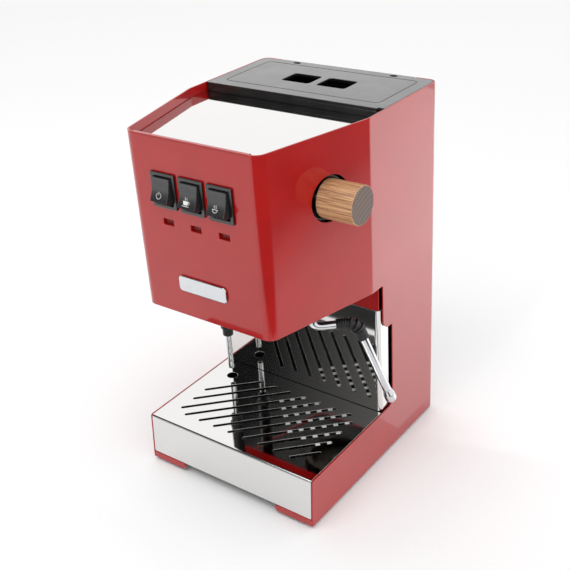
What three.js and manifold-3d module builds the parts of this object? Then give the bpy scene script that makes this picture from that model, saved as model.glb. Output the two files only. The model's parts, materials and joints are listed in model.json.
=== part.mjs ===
// Home espresso machine with a bent-steel body, built as separate named pieces.
// Millimetres, +Z up, +X to the right of someone facing the controls, -Y towards them.
// Working frame: x = 0 on the middle plane, y = 0 on the rear face, z = 0 at the lower
// edge of the side walls. The last lines move the origin to the middle of the footprint.
import * as THREE from 'three';
import { mergeVertices } from 'three/addons/utils/BufferGeometryUtils.js';
import Module from 'manifold-3d';

const wasm = await Module();
wasm.setup();

// ---------------------------------------------------------------- driving dimensions
const HALF_W = 101.5; // half the width over the side walls
const HEIGHT = 365; // top edge of the walls
const SHEET = 1.5; // thickness of the body sheet
const FRONT_Y = -239.8; // face of the control panel
const FRONT_HALF = 72.1; // half the panel width, to the sharp corners
const CREASE_Y = -121.7; // upright bend where the side walls start to taper
const WRAP_X = 78; // where the rear flanges end
const HOUSING_Z = 195.8; // underside of the upper housing
const COLUMN_Y = -104.2; // front edge of the rear columns
const BASE_TOP = 51.4; // top edge of the base walls
const BASE_FRONT_TOP = -232.5; // the base front leans out from here ...
const BASE_FRONT_LOW = -236; // ... to here at the lower edge
const FOOT_DROP = 3; // rubber feet below the walls

const SWITCH_X = [-32.3, -1, 30.3];
const SWITCH_Z = 316.8;
const SWITCH_TILT = 17; // degrees either side of level
const LAMP_Z = 286.7;

const KNOB_Y = -168;
const KNOB_Z = 306.5;
const KNOB_R = 17.5;
const KNOB_END = 122;
const KNOB_HOLE_R = 21.1;

const WAND_X = 60;
const WAND_Y = -165;
const WAND_YAW = 40; // degrees from +X, at rest
const WAND_R = 4.1;

const DRAIN_X = -74;
const DRAIN_Y = -132;

const COVER_BACK = -108;
const COVER_HALF = 99.5;
const SLOT_W = 3.7;
const SLOT_FIRST = -87.5; // y - x of the first slot's centre line
const SLOT_STEP = -18.9; // from one slot to the next

const SPLASH_Y = -107.5; // front face of the splash panel
const SPLASH_TOP = 168;
const TANK_TOP = 158;
const TRAY_FLOOR = 9.5;
const TRAY_RIM = 50;

// ---------------------------------------------------------------- helpers
const rad = THREE.MathUtils.degToRad;
const X = new THREE.Vector3(1, 0, 0);
const Y = new THREE.Vector3(0, 1, 0);
const Z = new THREE.Vector3(0, 0, 1);
const vec = (x, y, z) => new THREE.Vector3(x, y, z);

const box = (x0, x1, y0, y1, z0, z1) =>
  new THREE.BoxGeometry(x1 - x0, y1 - y0, z1 - z0)
    .translate((x0 + x1) / 2, (y0 + y1) / 2, (z0 + z1) / 2);

// A cylinder, or a cone when a second radius is given, between two points.
function rod(p, q, r, segments = 28, r2 = r) {
  const dir = q.clone().sub(p);
  const turn = new THREE.Quaternion().setFromUnitVectors(Y, dir.clone().normalize());
  const mid = p.clone().add(q).multiplyScalar(0.5);
  return new THREE.CylinderGeometry(r2, r, dir.length(), segments)
    .applyQuaternion(turn)
    .translate(mid.x, mid.y, mid.z);
}

// A lathe profile of [radius, height] pairs turned about the upright line at (x, y).
const turned = (profile, x, y, segments = 40) =>
  new THREE.LatheGeometry(profile.map(([r, h]) => new THREE.Vector2(r, h)), segments)
    .rotateX(Math.PI / 2)
    .translate(x, y, 0);

// The same turned about a line along +X through (y, z).
const turnedX = (profile, y, z, segments = 40) =>
  new THREE.LatheGeometry(profile.map(([r, h]) => new THREE.Vector2(r, h)), segments)
    .rotateZ(-Math.PI / 2)
    .translate(0, y, z);

function prism(points, depth, holes = []) {
  const shape = new THREE.Shape(points.map(([u, v]) => new THREE.Vector2(u, v)));
  shape.holes = holes.map((h) => new THREE.Path(h.map(([u, v]) => new THREE.Vector2(u, v))));
  return new THREE.ExtrudeGeometry(shape, { depth, bevelEnabled: false });
}

// Outlines in the XY, YZ and XZ planes, extruded along the third axis.
const prismZ = (points, z0, z1, holes) => prism(points, z1 - z0, holes).translate(0, 0, z0);
const prismX = (points, x0, x1, holes) =>
  prism(points, x1 - x0, holes)
    .applyMatrix4(new THREE.Matrix4().makeBasis(Y, Z, X))
    .translate(x0, 0, 0);
const prismY = (points, y0, y1, holes) =>
  prism(points, y1 - y0, holes)
    .applyMatrix4(new THREE.Matrix4().makeBasis(X, Z, Y.clone().negate()))
    .translate(0, y1, 0);

// An open path moved sideways: a positive distance moves it to its left.
function offsetPath(points, distance) {
  const lines = points.slice(1).map(([x, y], i) => {
    const [px, py] = points[i];
    const n = Math.hypot(x - px, y - py);
    const d = [(x - px) / n, (y - py) / n];
    return { p: [px - d[1] * distance, py + d[0] * distance], d, n };
  });
  const out = [lines[0].p];
  for (let i = 1; i < lines.length; i += 1) {
    const a = lines[i - 1];
    const b = lines[i];
    const det = a.d[0] * b.d[1] - a.d[1] * b.d[0];
    const t = ((b.p[0] - a.p[0]) * b.d[1] - (b.p[1] - a.p[1]) * b.d[0]) / det;
    out.push([a.p[0] + a.d[0] * t, a.p[1] + a.d[1] * t]);
  }
  const last = lines[lines.length - 1];
  out.push([last.p[0] + last.d[0] * last.n, last.p[1] + last.d[1] * last.n]);
  return out;
}

// Corners of a closed or open outline replaced by arcs; a radius of 0 keeps the corner.
function rounded(points, radii, closed = true, step = 12) {
  const out = [];
  const count = points.length;
  points.forEach((p, i) => {
    const r = Array.isArray(radii) ? radii[i] : radii;
    if (!r || (!closed && (i === 0 || i === count - 1))) {
      out.push(p);
      return;
    }
    const a = points[(i + count - 1) % count];
    const b = points[(i + 1) % count];
    const u = new THREE.Vector2(a[0] - p[0], a[1] - p[1]).normalize();
    const v = new THREE.Vector2(b[0] - p[0], b[1] - p[1]).normalize();
    const half = Math.acos(THREE.MathUtils.clamp(u.dot(v), -1, 1)) / 2;
    const mid = u.clone().add(v).normalize().multiplyScalar(r / Math.sin(half));
    const centre = [p[0] + mid.x, p[1] + mid.y];
    const reach = r / Math.tan(half);
    const from = Math.atan2(p[1] + u.y * reach - centre[1], p[0] + u.x * reach - centre[0]);
    const to = Math.atan2(p[1] + v.y * reach - centre[1], p[0] + v.x * reach - centre[0]);
    let sweep = to - from;
    if (sweep > Math.PI) sweep -= 2 * Math.PI;
    if (sweep < -Math.PI) sweep += 2 * Math.PI;
    const steps = Math.max(2, Math.round(THREE.MathUtils.radToDeg(Math.abs(sweep)) / step));
    for (let k = 0; k <= steps; k += 1) {
      const t = from + (sweep * k) / steps;
      out.push([centre[0] + r * Math.cos(t), centre[1] + r * Math.sin(t)]);
    }
  });
  return out;
}

const rect = (u0, u1, v0, v1, r = 0) =>
  rounded([[u0, v0], [u1, v0], [u1, v1], [u0, v1]], r, true, 22.5);

const circle = (r, segments, u = 0, v = 0) =>
  Array.from({ length: segments }, (_, i) => {
    const t = (2 * Math.PI * i) / segments;
    return [u + r * Math.cos(t), v + r * Math.sin(t)];
  });

// A round-ended slot between two points of a plane.
function slot([u0, v0], [u1, v1], width, steps = 5) {
  const r = width / 2;
  const dir = Math.atan2(v1 - v0, u1 - u0);
  const end = (u, v, start) =>
    Array.from({ length: steps + 1 }, (_, i) => {
      const t = start + (Math.PI * i) / steps;
      return [u + r * Math.cos(t), v + r * Math.sin(t)];
    });
  return [...end(u1, v1, dir - Math.PI / 2), ...end(u0, v0, dir + Math.PI / 2)];
}

// A round bar or pipe swept along a polyline whose corners are eased.
function pipe(points, r, ease, { bore = 0, segments = 16, steps = 24 } = {}) {
  const path = new THREE.CurvePath();
  let from = points[0];
  points.slice(1, -1).forEach((corner, i) => {
    const back = points[i].clone().sub(corner).setLength(ease).add(corner);
    const on = points[i + 2].clone().sub(corner).setLength(ease).add(corner);
    path.add(new THREE.LineCurve3(from, back));
    path.add(new THREE.QuadraticBezierCurve3(back, corner.clone(), on));
    from = on;
  });
  path.add(new THREE.LineCurve3(from, points[points.length - 1]));
  const ring = (radius) => circle(radius, segments).map(([u, v]) => new THREE.Vector2(u, v));
  const shape = new THREE.Shape(ring(r));
  if (bore) shape.holes = [new THREE.Path(ring(bore))];
  return new THREE.ExtrudeGeometry(shape, { extrudePath: path, steps, bevelEnabled: false });
}

// Joins and cuts.
function solid(geometry) {
  const bare = geometry.clone();
  bare.deleteAttribute('normal');
  bare.deleteAttribute('uv');
  const merged = mergeVertices(bare, 1e-4);
  return new wasm.Manifold(new wasm.Mesh({
    numProp: 3,
    vertProperties: new Float32Array(merged.attributes.position.array),
    triVerts: new Uint32Array(merged.index.array),
  }));
}

function surface(manifold) {
  const mesh = manifold.getMesh();
  const geometry = new THREE.BufferGeometry();
  geometry.setAttribute('position', new THREE.BufferAttribute(mesh.vertProperties, 3));
  geometry.setIndex(new THREE.BufferAttribute(mesh.triVerts, 1));
  return geometry;
}

const join = (...parts) => surface(parts.map(solid).reduce((a, b) => a.add(b)));
const cut = (part, ...tools) =>
  surface(tools.map(solid).reduce((a, b) => a.subtract(b), solid(part)));

// ---------------------------------------------------------------- finishes
const finish = (color, roughness, metalness = 0) =>
  new THREE.MeshStandardMaterial({ color, roughness, metalness });
const RED = finish('#a3221c', 0.35);
const POLISHED = finish('#d8dadb', 0.12, 1);
const STEEL = finish('#b9bcbe', 0.35, 1);
const CHROME = finish('#e2e4e6', 0.08, 1);
const BLACK = finish('#202124', 0.55);
const GLOSS_BLACK = finish('#17181a', 0.25);
const RUBBER = finish('#161617', 0.85);
const ALUMINIUM = finish('#a8abad', 0.45, 1);
const BRASS = finish('#b38a45', 0.35, 1);
const WALNUT = finish('#7a5336', 0.55);
const LENS = finish('#8f6a5f', 0.3);
const SMOKED = finish('#2a2b2d', 0.2);
const HOSE = finish('#d9d5cb', 0.4);
const ZINC = finish('#8f9396', 0.5, 0.9);

const machine = new THREE.Group();
function add(name, geometry, material) {
  const mesh = new THREE.Mesh(geometry, material.clone());
  mesh.name = name;
  mesh.geometry.computeVertexNormals();
  machine.add(mesh);
  return mesh;
}

// ---------------------------------------------------------------- body shell
const PLAN = [
  [-WRAP_X, 0], [-HALF_W, 0], [-HALF_W, CREASE_Y], [-FRONT_HALF, FRONT_Y],
  [FRONT_HALF, FRONT_Y], [HALF_W, CREASE_Y], [HALF_W, 0], [WRAP_X, 0],
];
const PLAN_R = [0, 9, 9, 11, 11, 9, 9, 0];
const inset = (d) =>
  rounded(offsetPath(PLAN, d), PLAN_R.map((r) => Math.max(r - d, 0)), false, 11);
const sheetOutline = [...inset(0), ...inset(SHEET).reverse()];

const cornerOutline = (side) => {
  const path = [[side * WRAP_X, 0], [side * HALF_W, 0], [side * HALF_W, -60]];
  const turn = side < 0 ? SHEET : -SHEET;
  const outer = rounded(path, [0, 9, 0], false, 11);
  const inner = rounded(offsetPath(path, turn), [0, 9 - SHEET, 0], false, 11);
  return [...outer, ...inner.reverse()];
};

const sideOutline = rounded(
  [
    [-40, 0], [BASE_FRONT_LOW, 0], [BASE_FRONT_TOP, BASE_TOP], [-87.7, BASE_TOP],
    [-87.7, 146.5], [COLUMN_Y, 146.5], [COLUMN_Y, 200], [-40, 200],
  ],
  [0, 1.5, 2.5, 8.5, 1, 11.5, 0, 0],
);

const wallNormal = vec(CREASE_Y - FRONT_Y, -(HALF_W - FRONT_HALF), 0).normalize();
const knobWallX = HALF_W - ((CREASE_Y - KNOB_Y) * (HALF_W - FRONT_HALF)) / (CREASE_Y - FRONT_Y);
const knobSeat = vec(knobWallX, KNOB_Y, KNOB_Z);

const lampSleeves = SWITCH_X.map((x) =>
  box(x - 6.9, x + 6.9, FRONT_Y + 0.5, FRONT_Y + 5, LAMP_Z - 3.9, LAMP_Z + 3.9));
const lampHoles = SWITCH_X.map((x) =>
  box(x - 5.9, x + 5.9, FRONT_Y - 1, FRONT_Y + 6, LAMP_Z - 2.9, LAMP_Z + 2.9));
const switchHoles = SWITCH_X.map((x) =>
  box(x - 12, x + 12, FRONT_Y - 1, FRONT_Y + 4, SWITCH_Z - 14.6, SWITCH_Z + 14.6));

const frontFoot = [[-101.3, 0], [-59, 0], [-54, 7.2], [-101.3, 7.2]];
const mirrored = (points) => points.map(([u, v]) => [-u, v]).reverse();

add('body_shell', cut(
  join(
    prismZ(sheetOutline, HOUSING_Z, HEIGHT),
    prismZ(cornerOutline(-1), 0, 200),
    prismZ(cornerOutline(1).reverse(), 0, 200),
    prismX(sideOutline, HALF_W - SHEET, HALF_W),
    prismX(sideOutline, -HALF_W, -HALF_W + SHEET),
    // folded lip along the top of the control panel
    box(-64, 64, FRONT_Y + 0.5, FRONT_Y + 4, HEIGHT - 3, HEIGHT),
    // lower edges folded inwards, and the two feet folded up at the front
    box(-HALF_W + 0.5, -90, BASE_FRONT_LOW + 1, -9, 0, SHEET),
    box(90, HALF_W - 0.5, BASE_FRONT_LOW + 1, -9, 0, SHEET),
    prismY(rounded(frontFoot, [0, 1.5, 1.5, 0]), BASE_FRONT_LOW, BASE_FRONT_LOW + SHEET),
    prismY(rounded(mirrored(frontFoot), [0, 1.5, 1.5, 0]), BASE_FRONT_LOW, BASE_FRONT_LOW + SHEET),
    ...lampSleeves,
  ),
  ...lampHoles,
  ...switchHoles,
  rod(
    knobSeat.clone().addScaledVector(wallNormal, -8),
    knobSeat.clone().addScaledVector(wallNormal, 8),
    KNOB_HOLE_R,
    48,
  ),
), RED);

add('rear_apron', prismY(
  rounded([[-98.3, 168.6], [98.3, 168.6], [98.3, 195.6], [-98.3, 195.6]], 1.5),
  SPLASH_Y, SPLASH_Y + SHEET,
), RED);

const ceilingOutline = [...inset(SHEET + 0.4).filter(([, y]) => y < -109), [99, -109], [-99, -109]];
add('bay_ceiling', prismZ(
  ceilingOutline, 197, 198.5,
  [circle(37, 36, 0, -168).reverse(), circle(11, 20, WAND_X, WAND_Y).reverse(),
    circle(9, 20, DRAIN_X, DRAIN_Y).reverse()],
), BLACK);

const inletHole = rect(-75, -47, 215, 237);
const backVents = [150, 162, 174].map((z) => slot([0, z], [60, z], 5));
add('back_panel', prismY(
  [[-94.2, 4], [94.2, 4], [94.2, 350], [-94.2, 350]], -3.4, -1.9,
  [inletHole.reverse(), ...backVents.map((s) => s.reverse())],
), BLACK);

const floorVents = [-70, -35, 0, 35, 70].map((x) => slot([x, -40], [x, -90], 5));
add('base_floor', join(
  prismZ(
    rounded([[-99.5, -229], [99.5, -229], [99.5, -4], [-99.5, -4]], [0, 0, 9, 9]), 2, 3.5,
    floorVents.map((s) => s.reverse()),
  ),
  // runners under the drip tray
  box(-86, -82, -226, -112, 3, TRAY_FLOOR - 0.4),
  box(82, 86, -226, -112, 3, TRAY_FLOOR - 0.4),
), ZINC);

[['front_left', -79, -212], ['front_right', 79, -212], ['rear_left', -79, -20],
  ['rear_right', 79, -20]].forEach(([where, x, y]) => {
  add(`foot_${where}`, turned([[0, -FOOT_DROP], [7, -FOOT_DROP], [8, 1.7], [0, 1.7]], x, y, 20),
    RUBBER);
});

// ---------------------------------------------------------------- top
const plateOutline = inset(SHEET + 1).filter(([, y]) => y < -99);
add('cup_plate', prismZ(
  [[-98.9, -98.6], ...plateOutline, [98.9, -98.6]], 354.8, 356,
), POLISHED);

const frameBlock = join(
  prismZ(rounded([[-99.6, -97.3], [99.6, -97.3], [99.6, -1.9], [-99.6, -1.9]], [0, 0, 7.6, 7.6]),
    351, HEIGHT),
  box(-WRAP_X + 0.6, WRAP_X - 0.6, -3, -0.2, 351, HEIGHT),
);
add('top_frame', cut(
  frameBlock,
  prismZ(rect(-87.4, 87.4, -84.4, -11.6, 6), 361.6, HEIGHT + 1),
  prismZ(rect(-82, 82, -79.5, -16.5, 5), 350, HEIGHT),
  prismZ(slot([-58.2, -5.6], [-54.8, -5.6], 4.6), 361, HEIGHT + 1),
  prismZ(slot([54.8, -5.6], [58.2, -5.6], 4.6), 361, HEIGHT + 1),
  box(93.4, 101, -98, -94.6, 361.2, HEIGHT + 1),
), BLACK);
[['left', -56.5], ['right', 56.5]].forEach(([side, x]) => {
  add(`frame_screw_${side}`, turned([[0, 361.2], [1.9, 361.2], [1.9, 362.6], [0, 363]], x, -5.6, 12),
    ZINC);
});

add('tank_lid', prismZ(
  rect(-87, 87, -84, -12, 5.6), 362, HEIGHT,
  [rect(-36.2, -4.4, -61.2, -36.4, 3).reverse(), rect(4.4, 36.2, -61.2, -36.4, 3).reverse()],
), BLACK);

add('tank_funnel', cut(
  box(-86, 86, -83, -13, 336, 350.6),
  box(-84, 84, -81, -15, 338, 352),
  rod(vec(-40, -48, 330), vec(-40, -48, 340), 11, 24),
), BLACK);
add('funnel_spout', cut(
  rod(vec(-40, -48, 168), vec(-40, -48, 335.7), 13, 24),
  rod(vec(-40, -48, 160), vec(-40, -48, 340), 11, 24),
), BLACK);

// ---------------------------------------------------------------- water tank
add('water_tank', cut(
  prismZ(rect(-88, 88, -101, -12, 8), 5, TANK_TOP),
  prismZ(rect(-85.8, 85.8, -98.8, -14.2, 6), 7.2, TANK_TOP + 1),
), SMOKED);

const splashPlan = [[-98.9, -91.5], [-98.9, SPLASH_Y], [98.9, SPLASH_Y], [98.9, -91.5]];
const splashSheet = [
  ...rounded(splashPlan, [0, 5, 5, 0], false, 15),
  ...rounded(offsetPath(splashPlan, 1), [0, 4, 4, 0], false, 15).reverse(),
];
add('splash_panel', prismZ(splashSheet, 51.8, SPLASH_TOP), POLISHED);

// ---------------------------------------------------------------- drip tray
const slotLines = Array.from({ length: 11 }, (_, k) => SLOT_FIRST + SLOT_STEP * k);
const RIBS = [ // x + y of each rib, then the range of y - x that it covers
  [-142, -134, -228], [-126, -134, -247], [-109.5, -134, -266],
  [-93, -152, -266], [-76.5, -171, -247], [-60, -190, -228],
];
const ribs = RIBS.map(([sum, c0, c1]) => {
  const at = (c) => [(sum - c) / 2, (sum + c) / 2];
  const h = 2.4 / Math.SQRT2;
  const [p, q] = [at(c0), at(c1)];
  return prismZ(
    [[p[0] - h, p[1] - h], [p[0] + h, p[1] + h], [q[0] + h, q[1] + h], [q[0] - h, q[1] - h]].reverse(),
    TRAY_FLOOR + 1, TRAY_RIM - 0.2,
  );
});
add('drip_tray', join(
  surface(solid(prismZ(rect(-98.2, 98.2, -229.2, -109.8, 7), TRAY_FLOOR, TRAY_RIM))
    .subtract(solid(prismZ(rect(-96, 96, -227, -112, 5), TRAY_FLOOR + 2.2, TRAY_RIM + 1)))),
  ...ribs,
), BLACK);

const lean = (BASE_FRONT_TOP - BASE_FRONT_LOW) / BASE_TOP; // run per unit of drop
const apronY = (z) => BASE_FRONT_TOP - lean * (BASE_TOP - z);
const coverOuter = [[COVER_BACK, BASE_TOP], [BASE_FRONT_TOP, BASE_TOP], [apronY(7.7), 7.7]];
const coverProfile = [
  ...rounded(coverOuter, [0, 2.2, 0], false, 22),
  ...rounded(offsetPath(coverOuter, 1), [0, 1.2, 0], false, 22).reverse(),
];
const FIELD = { left: -82.5, right: 84.5, front: -215.2, back: -124.6 };
const coverSlots = slotLines.map((c) => {
  const t = SLOT_W / 2;
  const x0 = Math.max(FIELD.left + t, FIELD.front + t - c);
  const x1 = Math.min(FIELD.right - t, FIELD.back - t - c);
  return prismZ(slot([x0, x0 + c], [x1, x1 + c], SLOT_W), BASE_TOP - 3, BASE_TOP + 1);
});
add('drip_cover', cut(
  prismX(coverProfile, -COVER_HALF, COVER_HALF),
  ...coverSlots,
  rod(vec(DRAIN_X, DRAIN_Y, BASE_TOP - 3), vec(DRAIN_X, DRAIN_Y, BASE_TOP + 1), 5.8, 28),
), POLISHED);

// ---------------------------------------------------------------- control panel
const rockerProfile = [
  [-8, -10.4], [-6.5, -5.5], [-5.9, 0], [-6.5, 5.5], [-8, 10.4], [-6.6, 10.9], [-1.5, 12.1],
  [2.4, 9.6], [3.4, 4], [3.4, -4], [2.4, -9.6], [-1.5, -12.1], [-6.6, -10.9],
];
['power', 'brew', 'steam'].forEach((use, i) => {
  const x = SWITCH_X[i];
  add(`${use}_switch_bezel`, cut(
    join(
      prismY(rect(x - 13.7, x + 13.7, SWITCH_Z - 16.4, SWITCH_Z + 16.4, 1.2),
        FRONT_Y - 2, FRONT_Y - 0.2),
      box(x - 11.6, x + 11.6, FRONT_Y - 0.4, FRONT_Y + 19, SWITCH_Z - 14.2, SWITCH_Z + 14.2),
    ),
    box(x - 10.2, x + 10.2, FRONT_Y - 3, FRONT_Y + 10.5, SWITCH_Z - 13, SWITCH_Z + 13),
  ), BLACK);
  const rocker = add(`${use}_switch_rocker`, prismX(rockerProfile, -9.5, 9.5), GLOSS_BLACK);
  rocker.position.set(x, FRONT_Y + 0.5, SWITCH_Z);
  rocker.rotation.x = rad(-SWITCH_TILT);
  add(`${use}_lamp_lens`,
    box(x - 5.6, x + 5.6, FRONT_Y + 3.2, FRONT_Y + 10, LAMP_Z - 2.6, LAMP_Z + 2.6), LENS);
});

add('badge_plaque', prismY(
  rect(-27.3, 27.3, 221.8, 237.2, 4), FRONT_Y - 2, FRONT_Y - 0.2,
), CHROME);

// ---------------------------------------------------------------- steam knob and valve
const sleeveTrim = new THREE.BoxGeometry(40, 120, 120)
  .translate(20, 0, 0)
  .rotateZ(Math.atan2(wallNormal.y, wallNormal.x))
  .translate(knobSeat.x - 4, knobSeat.y, knobSeat.z);
add('knob_sleeve', cut(
  rod(vec(76, KNOB_Y, KNOB_Z), vec(99, KNOB_Y, KNOB_Z), 20.1, 44),
  rod(vec(78, KNOB_Y, KNOB_Z), vec(100, KNOB_Y, KNOB_Z), 18.2, 44),
  rod(vec(70, KNOB_Y, KNOB_Z), vec(80, KNOB_Y, KNOB_Z), 5, 20),
  sleeveTrim,
), BLACK);
add('steam_knob', turnedX(
  [[0, 86.5], [KNOB_R - 0.4, 86.5], [KNOB_R, 87], [KNOB_R, KNOB_END - 1],
    [KNOB_R - 1, KNOB_END], [0, KNOB_END]],
  KNOB_Y, KNOB_Z, 44,
), WALNUT);
add('valve_spindle', rod(vec(66.8, KNOB_Y, KNOB_Z), vec(86.2, KNOB_Y, KNOB_Z), 3.6, 16), STEEL);
add('valve_needle', turnedX(
  [[0, 49.5], [2.6, 53], [2.6, 64], [0, 64]], KNOB_Y, KNOB_Z, 16,
), STEEL);
add('steam_valve_body', cut(
  join(
    box(44, 66, KNOB_Y - 11, KNOB_Y + 11, KNOB_Z - 11, KNOB_Z + 11),
    rod(vec(56, WAND_Y, 240), vec(56, WAND_Y, KNOB_Z), 6, 20),
  ),
  rod(vec(49, KNOB_Y, KNOB_Z), vec(70, KNOB_Y, KNOB_Z), 3.2, 20),
), BRASS);
add('steam_pipe', pipe(
  [vec(56, WAND_Y, 239.6), vec(56, WAND_Y, 229), vec(WAND_X, WAND_Y, 222), vec(WAND_X, WAND_Y, 212.4)],
  3.4, 3, { segments: 12, steps: 12 },
), CHROME);
add('wand_nut', cut(
  turned([[0, 189], [8, 189], [9.4, 191], [9.4, 212], [0, 212]], WAND_X, WAND_Y, 24),
  rod(vec(WAND_X, WAND_Y, 180), vec(WAND_X, WAND_Y, 206), WAND_R + 0.4, 24),
), CHROME);

// The wand's centre line in its own upright plane: distance from the pivot, height.
const wandAt = (r, z) =>
  vec(WAND_X + r * Math.cos(rad(WAND_YAW)), WAND_Y + r * Math.sin(rad(WAND_YAW)), z);
add('wand_tube', pipe(
  [wandAt(0, 205), wandAt(0, 169.5), wandAt(42.4, 170.5), wandAt(70.4, 92.6)],
  WAND_R, 11, { segments: 18, steps: 44 },
), CHROME);
add('wand_grip', pipe(
  [wandAt(23, 170), wandAt(42.4, 170.5), wandAt(48.9, 152.5)],
  6.8, 11, { bore: WAND_R + 0.3, segments: 20, steps: 16 },
), RUBBER);
const nozzle = new THREE.LatheGeometry(
  [[0, 0], [4.4, 0], [5.2, 3], [5.8, 10], [5.2, 13.6], [3.4, 15.2], [0, 15.6]]
    .map(([r, h]) => new THREE.Vector2(r, h)), 24,
);
const wandDir = wandAt(70.4, 92.6).sub(wandAt(42.4, 170.5)).normalize();
const nozzleSeat = wandAt(70.4, 92.6).addScaledVector(wandDir, 0.3);
nozzle
  .applyQuaternion(new THREE.Quaternion().setFromUnitVectors(Y, wandDir))
  .translate(nozzleSeat.x, nozzleSeat.y, nozzleSeat.z);
add('wand_nozzle', nozzle, STEEL);

// ---------------------------------------------------------------- three-way valve and drain
add('solenoid_body', cut(
  join(
    box(-88, -60, -146, -118, 201, 236),
    rod(vec(DRAIN_X, DRAIN_Y, 236), vec(DRAIN_X, DRAIN_Y, 262), 10, 24),
    rod(vec(-61, DRAIN_Y, 212), vec(-46, -140, 212), 4, 12),
  ),
  rod(vec(DRAIN_X, DRAIN_Y, 222), vec(DRAIN_X, DRAIN_Y, 264), 5.3, 24),
), BLACK);
add('solenoid_plunger', rod(vec(DRAIN_X, DRAIN_Y, 223), vec(DRAIN_X, DRAIN_Y, 250), 4.9, 20), STEEL);
add('drain_boot', cut(
  turned([[0, 103.4], [5.6, 103.4], [5.6, 111.5], [7.2, 112.5], [7.2, 200.6], [0, 200.6]],
    DRAIN_X, DRAIN_Y, 24),
  rod(vec(DRAIN_X, DRAIN_Y, 100), vec(DRAIN_X, DRAIN_Y, 118), 3.3, 20),
), RUBBER);
add('drain_tube', cut(
  rod(vec(DRAIN_X, DRAIN_Y, 62), vec(DRAIN_X, DRAIN_Y, 116), 3, 20),
  rod(vec(DRAIN_X, DRAIN_Y, 60), vec(DRAIN_X, DRAIN_Y, 112), 2.1, 20),
), CHROME);

// ---------------------------------------------------------------- boiler and brew group
const GROUP_Y = -168;
add('boiler_lower', turned(
  [[0, 214], [38, 214], [38, 250], [44, 250], [44, 256], [33, 256], [33, 219], [0, 219]],
  0, GROUP_Y, 40,
), ALUMINIUM);
add('boiler_upper', turned(
  [[0, 298], [36, 298], [38, 296], [38, 262.3], [44, 262.3], [44, 256.3], [33, 256.3],
    [33, 292], [0, 292]].reverse(),
  0, GROUP_Y, 40,
), ALUMINIUM);
add('group_head', turned(
  [[0, 213.6], [42, 213.6], [42, 206], [35, 203], [35, 184], [29.5, 184], [29.5, 203], [0, 203]]
    .reverse(),
  0, GROUP_Y, 40,
), CHROME);
add('group_gasket', turned(
  [[25.6, 196], [29, 196], [29, 202.6], [25.6, 202.6], [25.6, 196]], 0, GROUP_Y, 36,
), RUBBER);
add('dispersion_plate', turned([[0, 197.4], [24.8, 197.4], [24.8, 202.6], [0, 202.6]], 0, GROUP_Y, 36),
  BRASS);
add('shower_screen', turned(
  [[0, 194.8], [24.4, 194.8], [25, 195.6], [25, 197], [0, 197]], 0, GROUP_Y, 36,
), STEEL);
add('screen_screw', turned([[0, 192.6], [3.4, 193], [3.8, 194.4], [0, 194.4]], 0, GROUP_Y, 16), STEEL);
add('brew_thermostat', rod(vec(-16, GROUP_Y, 298.4), vec(-16, GROUP_Y, 310), 8.5, 20), ZINC);
add('steam_thermostat', rod(vec(14, GROUP_Y, 298.4), vec(14, GROUP_Y, 308), 7.5, 20), ZINC);

// ---------------------------------------------------------------- pump and plumbing
add('pump_bracket', prismX(
  [[-80, 200], [-12, 200], [-12, 206], [-13.5, 206], [-13.5, 201.5], [-78.5, 201.5],
    [-78.5, 206], [-80, 206]].reverse(),
  25, 85,
), ZINC);
add('pump_body', cut(
  join(
    rod(vec(30, -46, 226), vec(78, -46, 226), 22, 32),
    rod(vec(14, -46, 226), vec(34, -46, 226), 9, 20),
    rod(vec(76, -46, 226), vec(92, -46, 226), 6, 16),
  ),
  rod(vec(10, -46, 226), vec(62, -46, 226), 4.6, 20),
), BLACK);
add('pump_piston', rod(vec(28, -46, 226), vec(57, -46, 226), 4.2, 16), STEEL);
add('suction_hose', pipe(
  [vec(40, -88, 30), vec(40, -88, 195), vec(5, -88, 210), vec(5, -60, 226), vec(5, -46, 248)],
  3.5, 8, { segments: 12, steps: 30 },
), HOSE);
add('return_hose', pipe(
  [vec(-66, -60, 60), vec(-66, -60, 188), vec(-66, -96, 215), vec(-52, -112, 240)],
  3.5, 8, { segments: 12, steps: 26 },
), HOSE);
add('terminal_block', box(-30, 0, -18, -5, 250, 266), HOSE);
add('mains_inlet', cut(
  box(-74.6, -47.4, -22, -0.4, 215.4, 236.6),
  box(-71.6, -50.4, -17, 1, 218.4, 233.6),
), BLACK);

// ---------------------------------------------------------------- origin on the footprint
const bounds = new THREE.Box3().setFromObject(machine, true);
machine.position.set(
  -(bounds.min.x + bounds.max.x) / 2,
  -(bounds.min.y + bounds.max.y) / 2,
  -bounds.min.z,
);
const group = new THREE.Group();
group.add(machine);

export default group;
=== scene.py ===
# %% [markdown]
# # A home espresso machine in bent red steel
#
# The machine is a folded steel body with mirror-polished stainless plates, black mouldings,
# a walnut steam knob and a chrome steam wand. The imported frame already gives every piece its
# place and its joints. This script makes the surfaces that are seen, and rides each one on
# the frame's bodies. Lengths are in millimetres from the machine's own zero (the middle of
# the rear face, at the lower edge of the side walls) until a mesh is written in metres.

import json
import math

import bmesh
import bpy
import numpy as np
from mathutils import Matrix, Vector

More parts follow.
